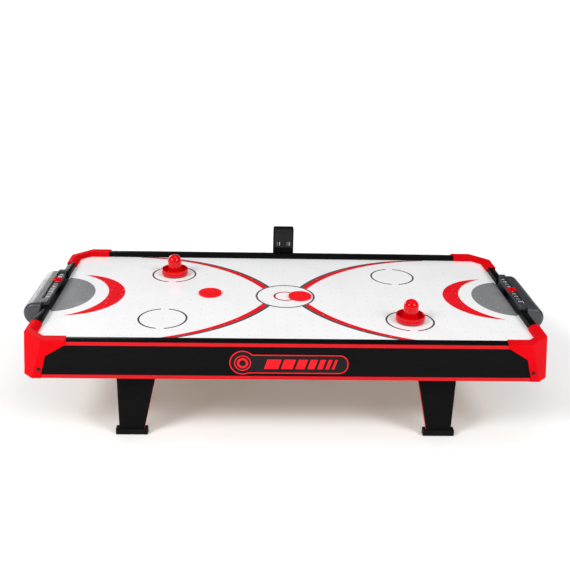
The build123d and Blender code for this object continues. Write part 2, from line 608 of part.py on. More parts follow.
def mallet(name):
    """Cup with a thin wall and a straight knob with a domed end, moulded in one piece."""
    z = FIELD_TOP + AIR_GAP + PAD_THICK
    top = FIELD_TOP + AIR_GAP + MALLET_HEIGHT
    rim = z + MALLET_RIM
    r = MALLET_R
    knob_z = top - KNOB_R
    floor = z + MALLET_FLOOR
    inner = r - MALLET_WALL
    left = Polyline((0, z), (r - 2, z), (r, z + 2), (r, rim - 1), (r - 1, rim), (r - 2.2, rim - 0.2),
                    (r - 2.8, rim - 1.2), (inner, floor + 1), (inner - 1, floor), (KNOB_R + 1.4, floor),
                    (KNOB_R + 0.2, floor + 1.4), (KNOB_R - 0.3, floor + 4), (KNOB_R, knob_z))
    dome = CenterArc((0, knob_z), KNOB_R, 0, 90)
    face = Plane.XZ * make_face(left + dome + Line((0, top), (0, z)))
    body = revolve(face, Axis.Z)
    x, y = MALLET_PLACES[name]
    return Pos(x, y, 0) * body


def mallet_pad(name):
    x, y = MALLET_PLACES[name]
    ring = Circle(MALLET_R - 2.5) - Circle(8)
    return Pos(x, y, FIELD_TOP + AIR_GAP) * extrude(ring, PAD_THICK)


def puck(name):
    x, y = PUCK_PLACES[name]
    disc = Cylinder(PUCK_R, PUCK_THICK)
    disc = fillet(disc.edges(), 0.8)
    for side in (1, -1):
        dish = Pos(0, 0, side * (PUCK_THICK / 2 - 0.2)) * (Cylinder(PUCK_R - 5, 0.8) - Cylinder(PUCK_R - 7, 2))
        disc -= dish
    return Pos(x, y, FIELD_TOP + AIR_GAP + PUCK_THICK / 2) * disc


def board_block(inset, y_low, y_high, z_low, z_high):
    width = 2 * (BOARD_HALF_WIDTH - inset)
    radius = max(4.0 - inset, 1.0)
    height = z_high - z_low - 2 * inset
    face = FACING_Y.offset(y_low) * (Pos(-BOARD_X, (z_low + z_high) / 2)
                                     * RectangleRounded(width, height, radius))
    return extrude(face, y_high - y_low, dir=(0, 1, 0))


def board_front():
    """Front shell of the scoreboard, open behind, with a window for the lens."""
    y = BOARD_FRONT_Y
    shell = board_block(0, y, y + 9, BOARD_BASE_TOP + 0.5, BOARD_TOP)
    shell = fillet(shell.edges().group_by(Axis.Y)[0], 1.2)
    shell -= board_block(BOARD_WALL, y + BOARD_WALL, y + 10, BOARD_BASE_TOP + 0.5, BOARD_TOP)
    window = board_block(4, y - 1, y + 5, BOARD_BASE_TOP + 0.5, BOARD_TOP)
    ledge = board_block(3, y - 1, y + 1.0, BOARD_BASE_TOP + 0.5, BOARD_TOP)
    return shell - window - ledge


def board_rear():
    y = BOARD_FRONT_Y + 9
    end = BOARD_FRONT_Y + BOARD_DEPTH
    shell = board_block(0, y, end, BOARD_BASE_TOP + 0.5, BOARD_TOP)
    shell = fillet(shell.edges().group_by(Axis.Y)[-1], 1.2)
    shell -= board_block(BOARD_WALL, y - 1, end - BOARD_WALL, BOARD_BASE_TOP + 0.5, BOARD_TOP)
    shell -= Pos(BOARD_X, end, BUTTON_Z) * Rot(90, 0, 0) * Cylinder(BUTTON_R + 0.3, 12)
    for x, z in BOARD_SCREWS:
        shell += Pos(x, (y + end) / 2 - 1, z) * Rot(90, 0, 0) * Cylinder(2.6, 7)
        shell -= Pos(x, end, z) * Rot(90, 0, 0) * Cylinder(1.1, 40)
    return shell


def board_lens():
    y = BOARD_FRONT_Y
    return board_block(3.1, y + 0.1, y + 1.0, BOARD_BASE_TOP + 0.5, BOARD_TOP)


def board_digits():
    """Two double-digit display modules behind the lens."""
    y = BOARD_FRONT_Y
    modules = []
    for x in (BOARD_X - DIGIT_X, BOARD_X + DIGIT_X):
        modules.append(block((x - 7, x + 7), (y + 1.6, y + 6.0), DIGIT_Z))
    return modules


def board_circuit():
    y = BOARD_FRONT_Y
    card = block((BOARD_X - 21, BOARD_X + 21), (y + 6.0, y + 7.4), CARD_Z)
    for x, z in BOARD_SCREWS:
        card -= Pos(x, y + 7, z) * Rot(90, 0, 0) * Cylinder(3.2, 8)
    card += Pos(BOARD_X, y + 8.6, BUTTON_Z) * Box(6, 2.4, 6)
    return card


def board_screws():
    screw = pan_screw(1.9, 1.0, 12)
    end = BOARD_FRONT_Y + BOARD_DEPTH
    return [Pos(x, end, z) * Rot(-90, 0, 0) * screw for x, z in BOARD_SCREWS]


def board_button():
    """Reset button through the rear shell, with a collar that keeps it in."""
    end = BOARD_FRONT_Y + BOARD_DEPTH
    stem_low = BOARD_FRONT_Y + 11.4
    face = end + BUTTON_TRAVEL
    cap = Pos(BOARD_X, (stem_low + face) / 2, BUTTON_Z) * Rot(90, 0, 0) * Cylinder(
        BUTTON_R, face - stem_low)
    cap = fillet(cap.edges().group_by(Axis.Y)[-1], 0.8)
    collar = Pos(BOARD_X, end - BOARD_WALL - 1.1, BUTTON_Z) * Rot(90, 0, 0) * Cylinder(BUTTON_R + 1.4, 1.6)
    return cap + collar


def board_bracket():
    """Foot of the scoreboard: a block on the rail and a plate down the rear apron."""
    x = (BOARD_X - BOARD_HALF_WIDTH, BOARD_X + BOARD_HALF_WIDTH)
    rear = BOARD_FRONT_Y + BOARD_DEPTH
    base = block(x, (BOARD_FRONT_Y, rear), (RAIL_TOP, BOARD_BASE_TOP))
    base += block(x, (BODY_Y + TRIM_THICK, rear), (TRIM_HIGH_BOTTOM - 1, RAIL_TOP))
    base = chamfer(base.edges().filter_by(Axis.X).group_by(Axis.Y)[-1].sort_by(Axis.Z)[0], 8)
    plate = block(x, (BODY_Y, BODY_Y + BRACKET_PLATE), (BRACKET_LOW, TRIM_HIGH_BOTTOM - 0.2))
    plate = fillet(plate.edges().filter_by(Axis.Y).group_by(Axis.Z)[0], 6)
    bracket = base + plate
    bracket += block((x[0] + 6, x[1] - 6), (BOARD_FRONT_Y + 4, rear - 4), (BOARD_BASE_TOP, BOARD_BASE_TOP + 0.5))
    reach, z = BRACKET_BOLT
    for sx in (1, -1):
        bracket -= Pos(BOARD_X + sx * reach, BODY_Y, z) * Rot(90, 0, 0) * Cylinder(SCREW_BORE_R, 20)
    return bracket


def bracket_screws():
    screw = pan_screw(3.6, 1.8, 14)
    reach, z = BRACKET_BOLT
    return [Pos(BOARD_X + sx * reach, BODY_Y + BRACKET_PLATE, z) * Rot(-90, 0, 0) * screw
            for sx in (1, -1)]


def fan_frame():
    """Square fan frame with a round duct, four struts and a motor seat at the top."""
    low = FAN_LOW
    high = low + FAN_HEIGHT
    frame = Pos(0, 0, low) * extrude(RectangleRounded(2 * FAN_HALF, 2 * FAN_HALF, 5), FAN_HEIGHT)
    frame -= Pos(0, 0, (low + high) / 2) * Cylinder(FAN_BORE_R, FAN_HEIGHT + 4)
    waist = Pos(0, 0, low + 4) * extrude(Rectangle(110, 110) - Circle(FAN_BORE_R + 2.2), FAN_HEIGHT - 8)
    frame -= waist
    for sx in (1, -1):
        for sy in (1, -1):
            frame += Pos(sx * 40, sy * 40, low) * extrude(Circle(5.5), FAN_HEIGHT)
            frame -= Pos(sx * FAN_SCREW, sy * FAN_SCREW, low) * Cylinder(FAN_SCREW_BORE_R, 80)
    for angle in (0, 90, 180, 270):
        frame += Rot(0, 0, angle + 45) * block((15, FAN_BORE_R + 1), (-2, 2), (high - 3, high))
    return frame + Pos(0, 0, high - 1.5) * Cylinder(HUB_R, 3)


def fan_motor():
    high = FAN_LOW + FAN_HEIGHT - 3
    core = Pos(0, 0, high - 7) * Cylinder(14, 14)
    return core - Pos(0, 0, high - 6) * Cylinder(SHAFT_R + BEARING_CLEARANCE, 20)


def impeller():
    """Hub cup with its shaft and seven pitched blades."""
    low = FAN_LOW + 2
    high = FAN_LOW + FAN_HEIGHT - 4
    wheel = Pos(0, 0, low) * extrude(Circle(HUB_R), high - low)
    wheel -= Pos(0, 0, low + 2) * extrude(Circle(HUB_R - 2.2), high - low)
    wheel += Pos(0, 0, low + 2) * extrude(Circle(SHAFT_R), 14)
    ring = Pos(0, 0, low) * extrude(Circle(BLADE_TIP_R) - Circle(HUB_R - 1), high - low)
    for i in range(BLADES):
        blade = Pos(31, 0, (low + high) / 2) * Rot(38, 0, 0) * Box(30, 26, 1.6)
        wheel += (Rot(0, 0, i * 360 / BLADES) * blade) & ring
    return wheel


def fan_guard():
    """Moulded finger guard under the bottom panel: concentric rings on four ribs."""
    low = PANEL_BOTTOM - GUARD_THICK
    frame = RectangleRounded(2 * FAN_HALF, 2 * FAN_HALF, 6) - Circle(FAN_BORE_R - 1)
    rings = Sketch() + [Circle(r) - Circle(r - 2) for r in (36, 28, 20, 12)] + [Circle(5)]
    ribs = Sketch() + [Rot(0, 0, a) * Rectangle(2 * FAN_BORE_R, 2.4) for a in (45, 135)]
    sheet = frame + rings + ribs
    for sx in (1, -1):
        for sy in (1, -1):
            sheet -= Pos(sx * FAN_SCREW, sy * FAN_SCREW) * Circle(FAN_SCREW_BORE_R)
    return Pos(0, 0, low) * extrude(sheet, GUARD_THICK)


def fan_screws():
    screw = pan_screw(3.8, 2.15, PANEL_THICK + GUARD_THICK + 18)
    return [Pos(sx * FAN_SCREW, sy * FAN_SCREW, PANEL_BOTTOM - GUARD_THICK) * Rot(180, 0, 0) * screw
            for sx in (1, -1) for sy in (1, -1)]


def switch_body():
    """Snap-in switch housing with a flange and a round-bottomed well for the rocker."""
    y = BODY_Y
    body = block((SWITCH_X - 9.8, SWITCH_X + 9.8), (y - 22, y), (POWER_Z - 6.8, POWER_Z + 6.8))
    flange = block((SWITCH_X - 12, SWITCH_X + 12), (y, y + 1.8), (POWER_Z - 9, POWER_Z + 9))
    body += fillet(flange.edges().filter_by(Axis.Y), 1.5)
    well = Pos(SWITCH_X, ROCKER_Y, POWER_Z) * Rot(0, 90, 0) * Cylinder(ROCKER_R + 0.4, 15)
    mouth = block((SWITCH_X - 7.5, SWITCH_X + 7.5), (ROCKER_Y, y + 3), (POWER_Z - 6.7, POWER_Z + 6.7))
    body -= well + mouth
    for dx in (-5, 0, 5):
        body += block((SWITCH_X + dx - 1, SWITCH_X + dx + 1), (y - 30, y - 22), (POWER_Z - 3, POWER_Z + 3))
    return body


def rocker():
    """Rocker on a pivot along X, with two faces that meet in a shallow V."""
    drum = Pos(SWITCH_X, ROCKER_Y, POWER_Z) * Rot(0, 90, 0) * Cylinder(ROCKER_R, 14.2)
    for side in (1, -1):
        cut = Pos(0, ROCKER_CREST + 10, side * 8) * Box(30, 20, 24)
        drum -= Pos(SWITCH_X, ROCKER_Y, POWER_Z) * Rot(side * ROCKER_TILT, 0, 0) * cut
    pivot = Pos(SWITCH_X, ROCKER_Y, POWER_Z)
    return pivot * Rot(ROCKER_TILT, 0, 0) * pivot.inverse() * drum


def power_inlet():
    """Panel socket for a round low-voltage plug."""
    y = BODY_Y
    place = Pos(INLET_X, 0, POWER_Z)
    barrel = place * Pos(0, y - 12, 0) * Rot(90, 0, 0) * Cylinder(5.4, 24)
    collar = place * Pos(0, y + 1, 0) * Rot(90, 0, 0) * Cylinder(8, 2)
    collar = fillet(collar.edges().group_by(Axis.Y)[-1], 0.7)
    socket = barrel + collar
    socket -= place * Pos(0, y - 4, 0) * Rot(90, 0, 0) * Cylinder(2.85, 14)
    socket += place * Pos(0, y - 6.5, 0) * Rot(90, 0, 0) * Cylinder(1.0, 11)
    return socket


def main():
    os.makedirs("parts", exist_ok=True)
    save("playfield", playfield())
    save("bottom_panel", bottom_panel())
    for name, sy in SIDES.items():
        save(f"{name}_batten", long_batten(sy))
        save(f"{name}_apron", long_apron(sy))
        save(f"{name}_rail", long_rail(sy))
    for name, sx in ENDS.items():
        save(f"{name}_batten", end_batten(sx))
        save(f"{name}_apron", end_apron(sx))
        save(f"{name}_end_rails", [end_rail(sx, 1), end_rail(sx, -1)])
        save(f"{name}_goal_housing", goal_housing(name))
        save(f"{name}_score_slider", score_slider(name))
    for end, sx in ENDS.items():
        for side, sy in SIDES.items():
            save(f"{side}_{end}_corner_cap", corner_cap(sx, sy))
            save(f"{side}_{end}_leg", leg(sx, sy))
    save("rail_trims", [high_trim(side) for side in SIDES])
    save("apron_trims", [low_trim(1), low_trim(-1), end_low_trim(1), end_low_trim(-1)])
    save("leg_edge_bands", [leg_edge_band(sx, sy) for sx in (1, -1) for sy in (1, -1)])
    save("feet", [foot(sx, sy) for sx in (1, -1) for sy in (1, -1)])
    save("leg_brackets", [leg_bracket(sx, sy) for sx in (1, -1) for sy in (1, -1)])
    bolts, screws = leg_fasteners()
    save("leg_bolts", bolts)
    save("leg_bracket_screws", screws)
    save("corner_cap_screws", corner_cap_screws())
    save("bottom_panel_screws", panel_screws())
    save("goal_screws", goal_screws())
    save("badge", badge())
    save("scoreboard_bracket", board_bracket())
    save("scoreboard_bracket_screws", bracket_screws())
    save("scoreboard_front", board_front())
    save("scoreboard_rear", board_rear())
    save("scoreboard_lens", board_lens())
    save("scoreboard_digits", board_digits())
    save("scoreboard_circuit", board_circuit())
    save("scoreboard_screws", board_screws())
    save("scoreboard_button", board_button())
    save("fan_frame", fan_frame())
    save("fan_motor", fan_motor())
    save("fan_impeller", impeller())
    save("fan_guard", fan_guard())
    save("fan_screws", fan_screws())
    save("switch_body", switch_body())
    save("switch_rocker", rocker())
    save("power_inlet", power_inlet())
    for name in MALLET_PLACES:
        save(f"mallet_{name}", mallet(name))
        save(f"mallet_{name}_pad", mallet_pad(name))
    for name in PUCK_PLACES:
        save(f"puck_{name}", puck(name))


if __name__ == "__main__":
    main()
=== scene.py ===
"""Looks of a tabletop air hockey table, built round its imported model. Lengths here are metres."""

import json
import math

import bmesh
import bpy
from mathutils import Matrix, Vector
from mathutils.geometry import delaunay_2d_cdt


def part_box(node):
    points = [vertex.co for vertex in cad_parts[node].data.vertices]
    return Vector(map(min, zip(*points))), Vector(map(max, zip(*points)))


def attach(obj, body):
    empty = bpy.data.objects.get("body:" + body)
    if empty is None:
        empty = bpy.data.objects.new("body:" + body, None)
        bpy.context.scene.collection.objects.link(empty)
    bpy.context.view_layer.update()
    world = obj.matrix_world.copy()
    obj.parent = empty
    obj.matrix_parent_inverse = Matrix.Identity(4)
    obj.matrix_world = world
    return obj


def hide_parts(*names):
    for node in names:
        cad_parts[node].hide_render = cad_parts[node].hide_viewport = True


MM = 0.001

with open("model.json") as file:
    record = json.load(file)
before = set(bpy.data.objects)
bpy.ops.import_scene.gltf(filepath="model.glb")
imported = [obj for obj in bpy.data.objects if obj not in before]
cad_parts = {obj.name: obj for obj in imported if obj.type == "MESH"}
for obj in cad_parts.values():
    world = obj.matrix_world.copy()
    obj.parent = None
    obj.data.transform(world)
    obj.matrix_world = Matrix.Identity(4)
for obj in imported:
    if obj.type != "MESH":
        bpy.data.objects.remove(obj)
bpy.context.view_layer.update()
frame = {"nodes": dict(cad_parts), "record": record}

FIELD_LOW, FIELD_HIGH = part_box("playfield")
MIDDLE = (FIELD_LOW + FIELD_HIGH) / 2
FIELD_TOP = FIELD_HIGH.z


# --- node trees ------------------------------------------------------------------------------

def linear(code):
    """A hex colour such as F5141E, as the linear RGBA that shaders take."""
    channels = [int(code[i:i + 2], 16) / 255 for i in (0, 2, 4)]
    return [c / 12.92 if c <= 0.04045 else ((c + 0.055) / 1.055) ** 2.4 for c in channels] + [1.0]


def add(tree, kind, inputs=None, out=None, stops=None, **settings):
    """Adds a node with its settings and links; returns the output called out, or else the node.

    Each input is a plain value or the socket that feeds it. Stops are a ramp's (place, hex) pairs.
    """
    node = tree.nodes.new(kind)
    for name, value in settings.items():
        setattr(node, name, value)
    for name, value in (inputs or {}).items():
        if isinstance(value, bpy.types.NodeSocket):
            tree.links.new(value, node.inputs[name])
        else:
            node.inputs[name].default_value = value
    for index, (place, code) in enumerate(stops or []):
        ramp = node.color_ramp.elements
        element = ramp[index] if index < 2 else ramp.new(place)
        element.position = place
        element.color = linear(code)
    return node.outputs[out] if out is not None else node


def material_tree(name):
    """A new material's empty tree and, in metres, the point that its patterns read."""
    material = bpy.data.materials.new(name)
    material.use_nodes = True
    material.node_tree.nodes.clear()
    place = add(material.node_tree, "ShaderNodeTexCoord", out="Object")
    return material, material.node_tree, place


# --- finishes of the wood, foil and laminate ---------------------------------------------------

def laminated_field():
    """Melamine-faced MDF: a white pressed paper with a clear gloss that blurs what it mirrors.

    The fine paper tooth breaks up the shine. Below the paper, in the air holes, the board is brown.
    """
    material, tree, place = material_tree("white_melamine_laminate")
    cloud = add(tree, "ShaderNodeTexNoise", {"Vector": place, "Scale": 1 / (90 * MM)}, "Fac")
    tooth = add(tree, "ShaderNodeTexNoise", {"Vector": place, "Scale": 1 / (0.9 * MM), "Detail": 3.0},
                "Fac")
    fibres = add(tree, "ShaderNodeTexNoise", {"Vector": place, "Scale": 1 / (1.2 * MM), "Detail": 4.0},
                 "Fac")
    paper = add(tree, "ShaderNodeValToRGB", {"Fac": cloud}, "Color", [(0.3, "F5F5F6"), (0.7, "F9F9FA")])
    board = add(tree, "ShaderNodeValToRGB", {"Fac": fibres}, "Color", [(0.3, "6E5238"), (0.7, "8A6B4A")])
    height = add(tree, "ShaderNodeSeparateXYZ", {"Vector": place}, "Z")
    bare = add(tree, "ShaderNodeMath", {0: height, 1: FIELD_TOP - 0.25 * MM}, "Value",
               operation="LESS_THAN")
    colour = add(tree, "ShaderNodeMix", {0: bare, 6: paper, 7: board}, 2, data_type="RGBA")
    gloss = add(tree, "ShaderNodeMapRange", {"Value": cloud, "From Min": 0.3, "From Max": 0.7,
                                             "To Min": 0.15, "To Max": 0.22}, "Result")
    rough = add(tree, "ShaderNodeMath", {0: gloss, 1: bare}, "Value", operation="MAXIMUM")
    relief = add(tree, "ShaderNodeBump", {"Height": tooth, "Distance": 0.004 * MM, "Strength": 0.25},
                 "Normal")
    skin = add(tree, "ShaderNodeBsdfPrincipled",
               {"Base Color": colour, "Roughness": rough, "Normal": relief, "Specular IOR Level": 0.5,
                "Coat Weight": 0.1, "Coat Roughness": 0.08}, "BSDF")
    add(tree, "ShaderNodeOutputMaterial", {"Surface": skin})
    return material


def screen_ink(name, deep, light, specular):
    """Ink printed into the laminate: dense and even, with the gloss of the paper round it."""
    material, tree, place = material_tree(name)
    cloud = add(tree, "ShaderNodeTexNoise", {"Vector": place, "Scale": 1 / (60 * MM)}, "Fac")
    tooth = add(tree, "ShaderNodeTexNoise", {"Vector": place, "Scale": 1 / (0.9 * MM), "Detail": 3.0},
                "Fac")
    colour = add(tree, "ShaderNodeValToRGB", {"Fac": cloud}, "Color", [(0.3, deep), (0.7, light)])
    gloss = add(tree, "ShaderNodeMapRange", {"Value": cloud, "From Min": 0.3, "From Max": 0.7,
                                             "To Min": 0.2, "To Max": 0.28}, "Result")
    relief = add(tree, "ShaderNodeBump", {"Height": tooth, "Distance": 0.004 * MM, "Strength": 0.25},
                 "Normal")
    skin = add(tree, "ShaderNodeBsdfPrincipled",
               {"Base Color": colour, "Roughness": gloss, "Normal": relief,
                "Specular IOR Level": specular}, "BSDF")
    add(tree, "ShaderNodeOutputMaterial", {"Surface": skin})
    return material


def raw_board():
    """Bare MDF: felted brown fibres pressed flat, dull, with darker specks of bark."""
    material, tree, place = material_tree("raw_mdf")
    laid = add(tree, "ShaderNodeMapping", {"Vector": place, "Scale": (1, 2.4, 2.4)}, "Vector")
    fibres = add(tree, "ShaderNodeTexNoise", {"Vector": laid, "Scale": 1 / (2.2 * MM), "Detail": 5.0,
                                              "Roughness": 0.7}, "Fac")
    specks = add(tree, "ShaderNodeTexVoronoi", {"Vector": place, "Scale": 1 / (6 * MM)}, "Distance")
    body = add(tree, "ShaderNodeValToRGB", {"Fac": fibres}, "Color", [(0.3, "8C6A45"), (0.7, "B08D62")])
    dark = add(tree, "ShaderNodeMapRange", {"Value": specks, "From Min": 0.03, "From Max": 0.16,
                                            "To Min": 1.0, "To Max": 0.0}, "Result")
    colour = add(tree, "ShaderNodeMix", {0: dark, 6: body, 7: linear("6E5236")}, 2, data_type="RGBA")
    relief = add(tree, "ShaderNodeBump", {"Height": fibres, "Distance": 0.08 * MM, "Strength": 0.5},
                 "Normal")
    skin = add(tree, "ShaderNodeBsdfPrincipled",
               {"Base Color": colour, "Roughness": 0.86, "Normal": relief,
                "Specular IOR Level": 0.2}, "BSDF")
    add(tree, "ShaderNodeOutputMaterial", {"Surface": skin})
    return material


def board_foil():
    """Black PVC foil wrapped on board: satin, finely embossed, with faint rubs along its length.

    The emboss cells are 1.1 mm, a little coarser than real ones, so that they show.
    """
    material, tree, place = material_tree("black_pvc_foil")
    emboss = add(tree, "ShaderNodeTexVoronoi", {"Vector": place, "Scale": 1 / (1.1 * MM)}, "Distance",
                 feature="SMOOTH_F1")
    along = add(tree, "ShaderNodeMapping", {"Vector": place, "Scale": (0.08, 1, 1)}, "Vector")
    rubs = add(tree, "ShaderNodeTexNoise", {"Vector": along, "Scale": 1 / (3 * MM), "Detail": 4.0,
                                            "Roughness": 0.65}, "Fac")
    colour = add(tree, "ShaderNodeValToRGB", {"Fac": rubs}, "Color", [(0.3, "09090A"), (0.7, "0F0F10")])
    gloss = add(tree, "ShaderNodeMapRange", {"Value": rubs, "From Min": 0.3, "From Max": 0.7,
                                             "To Min": 0.36, "To Max": 0.5}, "Result")
    relief = add(tree, "ShaderNodeBump", {"Height": emboss, "Distance": 0.03 * MM, "Strength": 0.35},
                 "Normal")
    skin = add(tree, "ShaderNodeBsdfPrincipled",
               {"Base Color": colour, "Roughness": gloss, "Normal": relief,
                "Specular IOR Level": 0.05}, "BSDF")
    add(tree, "ShaderNodeOutputMaterial", {"Surface": skin})
    return material


def edging():
    """Red extruded ABS edging: its low gloss carries faint drawn lines along its length."""
    material, tree, place = material_tree("red_abs_edging")
    along = add(tree, "ShaderNodeMapping", {"Vector": place, "Scale": (0.02, 0.02, 1)}, "Vector")
    lines = add(tree, "ShaderNodeTexNoise", {"Vector": along, "Scale": 1 / (0.9 * MM)}, "Fac")
    cloud = add(tree, "ShaderNodeTexNoise", {"Vector": place, "Scale": 1 / (40 * MM)}, "Fac")
    colour = add(tree, "ShaderNodeValToRGB", {"Fac": cloud}, "Color", [(0.3, "CC121B"), (0.7, "D4161F")])
    gloss = add(tree, "ShaderNodeMapRange", {"Value": lines, "From Min": 0.3, "From Max": 0.7,
                                             "To Min": 0.3, "To Max": 0.42}, "Result")
    relief = add(tree, "ShaderNodeBump", {"Height": lines, "Distance": 0.01 * MM, "Strength": 0.4},
                 "Normal")
    skin = add(tree, "ShaderNodeBsdfPrincipled",
               {"Base Color": colour, "Roughness": gloss, "Normal": relief,
                "Specular IOR Level": 0.12}, "BSDF")
    add(tree, "ShaderNodeOutputMaterial", {"Surface": skin})
    return material


# --- finishes of the mouldings -------------------------------------------------------------------

def moulding(name, deep, light, gloss, dull, grit, depth, specular):
    """Injection-moulded ABS: even colour with slow flow marks under the skin of its tool.

    Grit and depth are the size and height of the tool's texture, in metres: a polished tool leaves
    next to none and the piece shines, a spark-eroded one turns the shine to a soft bloom. Gloss and
    dull are the ends of its roughness. A broad shallow wave stands for the sink marks of the wall.
    """
    material, tree, place = material_tree(name)
    flow = add(tree, "ShaderNodeTexNoise", {"Vector": place, "Scale": 1 / (35 * MM), "Detail": 3.0}, "Fac")
    sink = add(tree, "ShaderNodeTexNoise", {"Vector": place, "Scale": 1 / (18 * MM)}, "Fac")
    texture = add(tree, "ShaderNodeTexNoise", {"Vector": place, "Scale": 1 / grit, "Detail": 3.0,
                                               "Roughness": 0.6}, "Fac")
    colour = add(tree, "ShaderNodeValToRGB", {"Fac": flow}, "Color", [(0.3, deep), (0.7, light)])
    rough = add(tree, "ShaderNodeMapRange", {"Value": flow, "From Min": 0.3, "From Max": 0.7,
                                             "To Min": gloss, "To Max": dull}, "Result")
    wave = add(tree, "ShaderNodeBump", {"Height": sink, "Distance": 0.05 * MM, "Strength": 0.25}, "Normal")
    relief = add(tree, "ShaderNodeBump", {"Height": texture, "Distance": depth, "Strength": 0.6,
                                          "Normal": wave}, "Normal")
    skin = add(tree, "ShaderNodeBsdfPrincipled",
               {"Base Color": colour, "Roughness": rough, "Normal": relief,
                "Specular IOR Level": specular}, "BSDF")
    add(tree, "ShaderNodeOutputMaterial", {"Surface": skin})
    return material


def smoked_acrylic():
    """Smoked acrylic window: polished and nearly black, so what lies behind shows only faintly."""
    material, tree, place = material_tree("smoked_acrylic")
    film = add(tree, "ShaderNodeTexNoise", {"Vector": place, "Scale": 1 / (12 * MM)}, "Fac")
    colour = add(tree, "ShaderNodeValToRGB", {"Fac": film}, "Color", [(0.3, "1A1A1C"), (0.7, "202022")])
    gloss = add(tree, "ShaderNodeMapRange", {"Value": film, "From Min": 0.3, "From Max": 0.7,
                                             "To Min": 0.06, "To Max": 0.1}, "Result")
    skin = add(tree, "ShaderNodeBsdfPrincipled",
               {"Base Color": colour, "Roughness": gloss, "Transmission Weight": 0.6, "IOR": 1.49,
                "Specular IOR Level": 0.08}, "BSDF")
    add(tree, "ShaderNodeOutputMaterial", {"Surface": skin})
    return material


def display_epoxy():
    """Cast epoxy face of a digit display: charcoal and matt, so unlit segments vanish in it."""
    material, tree, place = material_tree("display_epoxy")
    cast = add(tree, "ShaderNodeTexNoise", {"Vector": place, "Scale": 1 / (2 * MM)}, "Fac")
    colour = add(tree, "ShaderNodeValToRGB", {"Fac": cast}, "Color", [(0.3, "111112"), (0.7, "171718")])
    gloss = add(tree, "ShaderNodeMapRange", {"Value": cast, "From Min": 0.3, "From Max": 0.7,
                                             "To Min": 0.45, "To Max": 0.6}, "Result")
    skin = add(tree, "ShaderNodeBsdfPrincipled", {"Base Color": colour, "Roughness": gloss,
                                                  "Specular IOR Level": 0.2}, "BSDF")
    add(tree, "ShaderNodeOutputMaterial", {"Surface": skin})
    return material


def lit_segment(name, deep, light, glow):
    """Lit display segment: a cool white glow through milky epoxy, uneven along the bar."""
    material, tree, place = material_tree(name)
    cast = add(tree, "ShaderNodeTexNoise", {"Vector": place, "Scale": 1 / (1.5 * MM)}, "Fac")
    colour = add(tree, "ShaderNodeValToRGB", {"Fac": cast}, "Color", [(0.3, deep), (0.7, light)])
    gloss = add(tree, "ShaderNodeMapRange", {"Value": cast, "From Min": 0.3, "From Max": 0.7,
                                             "To Min": 0.3, "To Max": 0.45}, "Result")
    skin = add(tree, "ShaderNodeBsdfPrincipled",
               {"Base Color": colour, "Roughness": gloss, "Emission Color": colour,
                "Emission Strength": glow}, "BSDF")
    add(tree, "ShaderNodeOutputMaterial", {"Surface": skin})
    return material


def solder_mask():
    """Glass-epoxy card under green solder mask: glossy, with the weave just showing."""
    material, tree, place = material_tree("green_solder_mask")
    weave = add(tree, "ShaderNodeTexWave", {"Vector": place, "Scale": 1 / (6 * MM), "Distortion": 0.4},
                "Fac", bands_direction="DIAGONAL")
    colour = add(tree, "ShaderNodeValToRGB", {"Fac": weave}, "Color", [(0.3, "0F4A26"), (0.7, "17602F")])
    gloss = add(tree, "ShaderNodeMapRange", {"Value": weave, "To Min": 0.22, "To Max": 0.34}, "Result")
    relief = add(tree, "ShaderNodeBump", {"Height": weave, "Distance": 0.01 * MM, "Strength": 0.4},
                 "Normal")
    skin = add(tree, "ShaderNodeBsdfPrincipled",
               {"Base Color": colour, "Roughness": gloss, "Normal": relief}, "BSDF")
    add(tree, "ShaderNodeOutputMaterial", {"Surface": skin})
    return material


def pressed_felt():
    """Pressed wool felt: dark and lightless, with a fuzz of short crossing fibres."""
    material, tree, place = material_tree("pressed_wool_felt")
    fibres = add(tree, "ShaderNodeTexNoise", {"Vector": place, "Scale": 1 / (0.7 * MM), "Detail": 6.0,
                                              "Roughness": 0.75}, "Fac")
    colour = add(tree, "ShaderNodeValToRGB", {"Fac": fibres}, "Color", [(0.3, "1A1A1B"), (0.7, "3A3A3C")])
    relief = add(tree, "ShaderNodeBump", {"Height": fibres, "Distance": 0.15 * MM, "Strength": 0.8},
                 "Normal")
    skin = add(tree, "ShaderNodeBsdfPrincipled",
               {"Base Color": colour, "Roughness": 0.95, "Normal": relief, "Sheen Weight": 0.4,
                "Sheen Roughness": 0.5}, "BSDF")
    add(tree, "ShaderNodeOutputMaterial", {"Surface": skin})
    return material


# --- finishes of the metal pieces ------------------------------------------------------------------

def blackened_steel():
    """Black oxide on steel: dark and oily, with metal glinting where a driver has rubbed."""
    material, tree, place = material_tree("black_oxide_steel")
    worn = add(tree, "ShaderNodeTexNoise", {"Vector": place, "Scale": 1 / (1.4 * MM), "Detail": 4.0}, "Fac")
    colour = add(tree, "ShaderNodeValToRGB", {"Fac": worn}, "Color", [(0.3, "1C1C1E"), (0.7, "3A3A3D")])
    gloss = add(tree, "ShaderNodeMapRange", {"Value": worn, "From Min": 0.3, "From Max": 0.7,
                                             "To Min": 0.34, "To Max": 0.55}, "Result")
    relief = add(tree, "ShaderNodeBump", {"Height": worn, "Distance": 0.02 * MM, "Strength": 0.5},
                 "Normal")
    skin = add(tree, "ShaderNodeBsdfPrincipled",
               {"Base Color": colour, "Roughness": gloss, "Metallic": 0.85, "Normal": relief}, "BSDF")
    add(tree, "ShaderNodeOutputMaterial", {"Surface": skin})
    return material


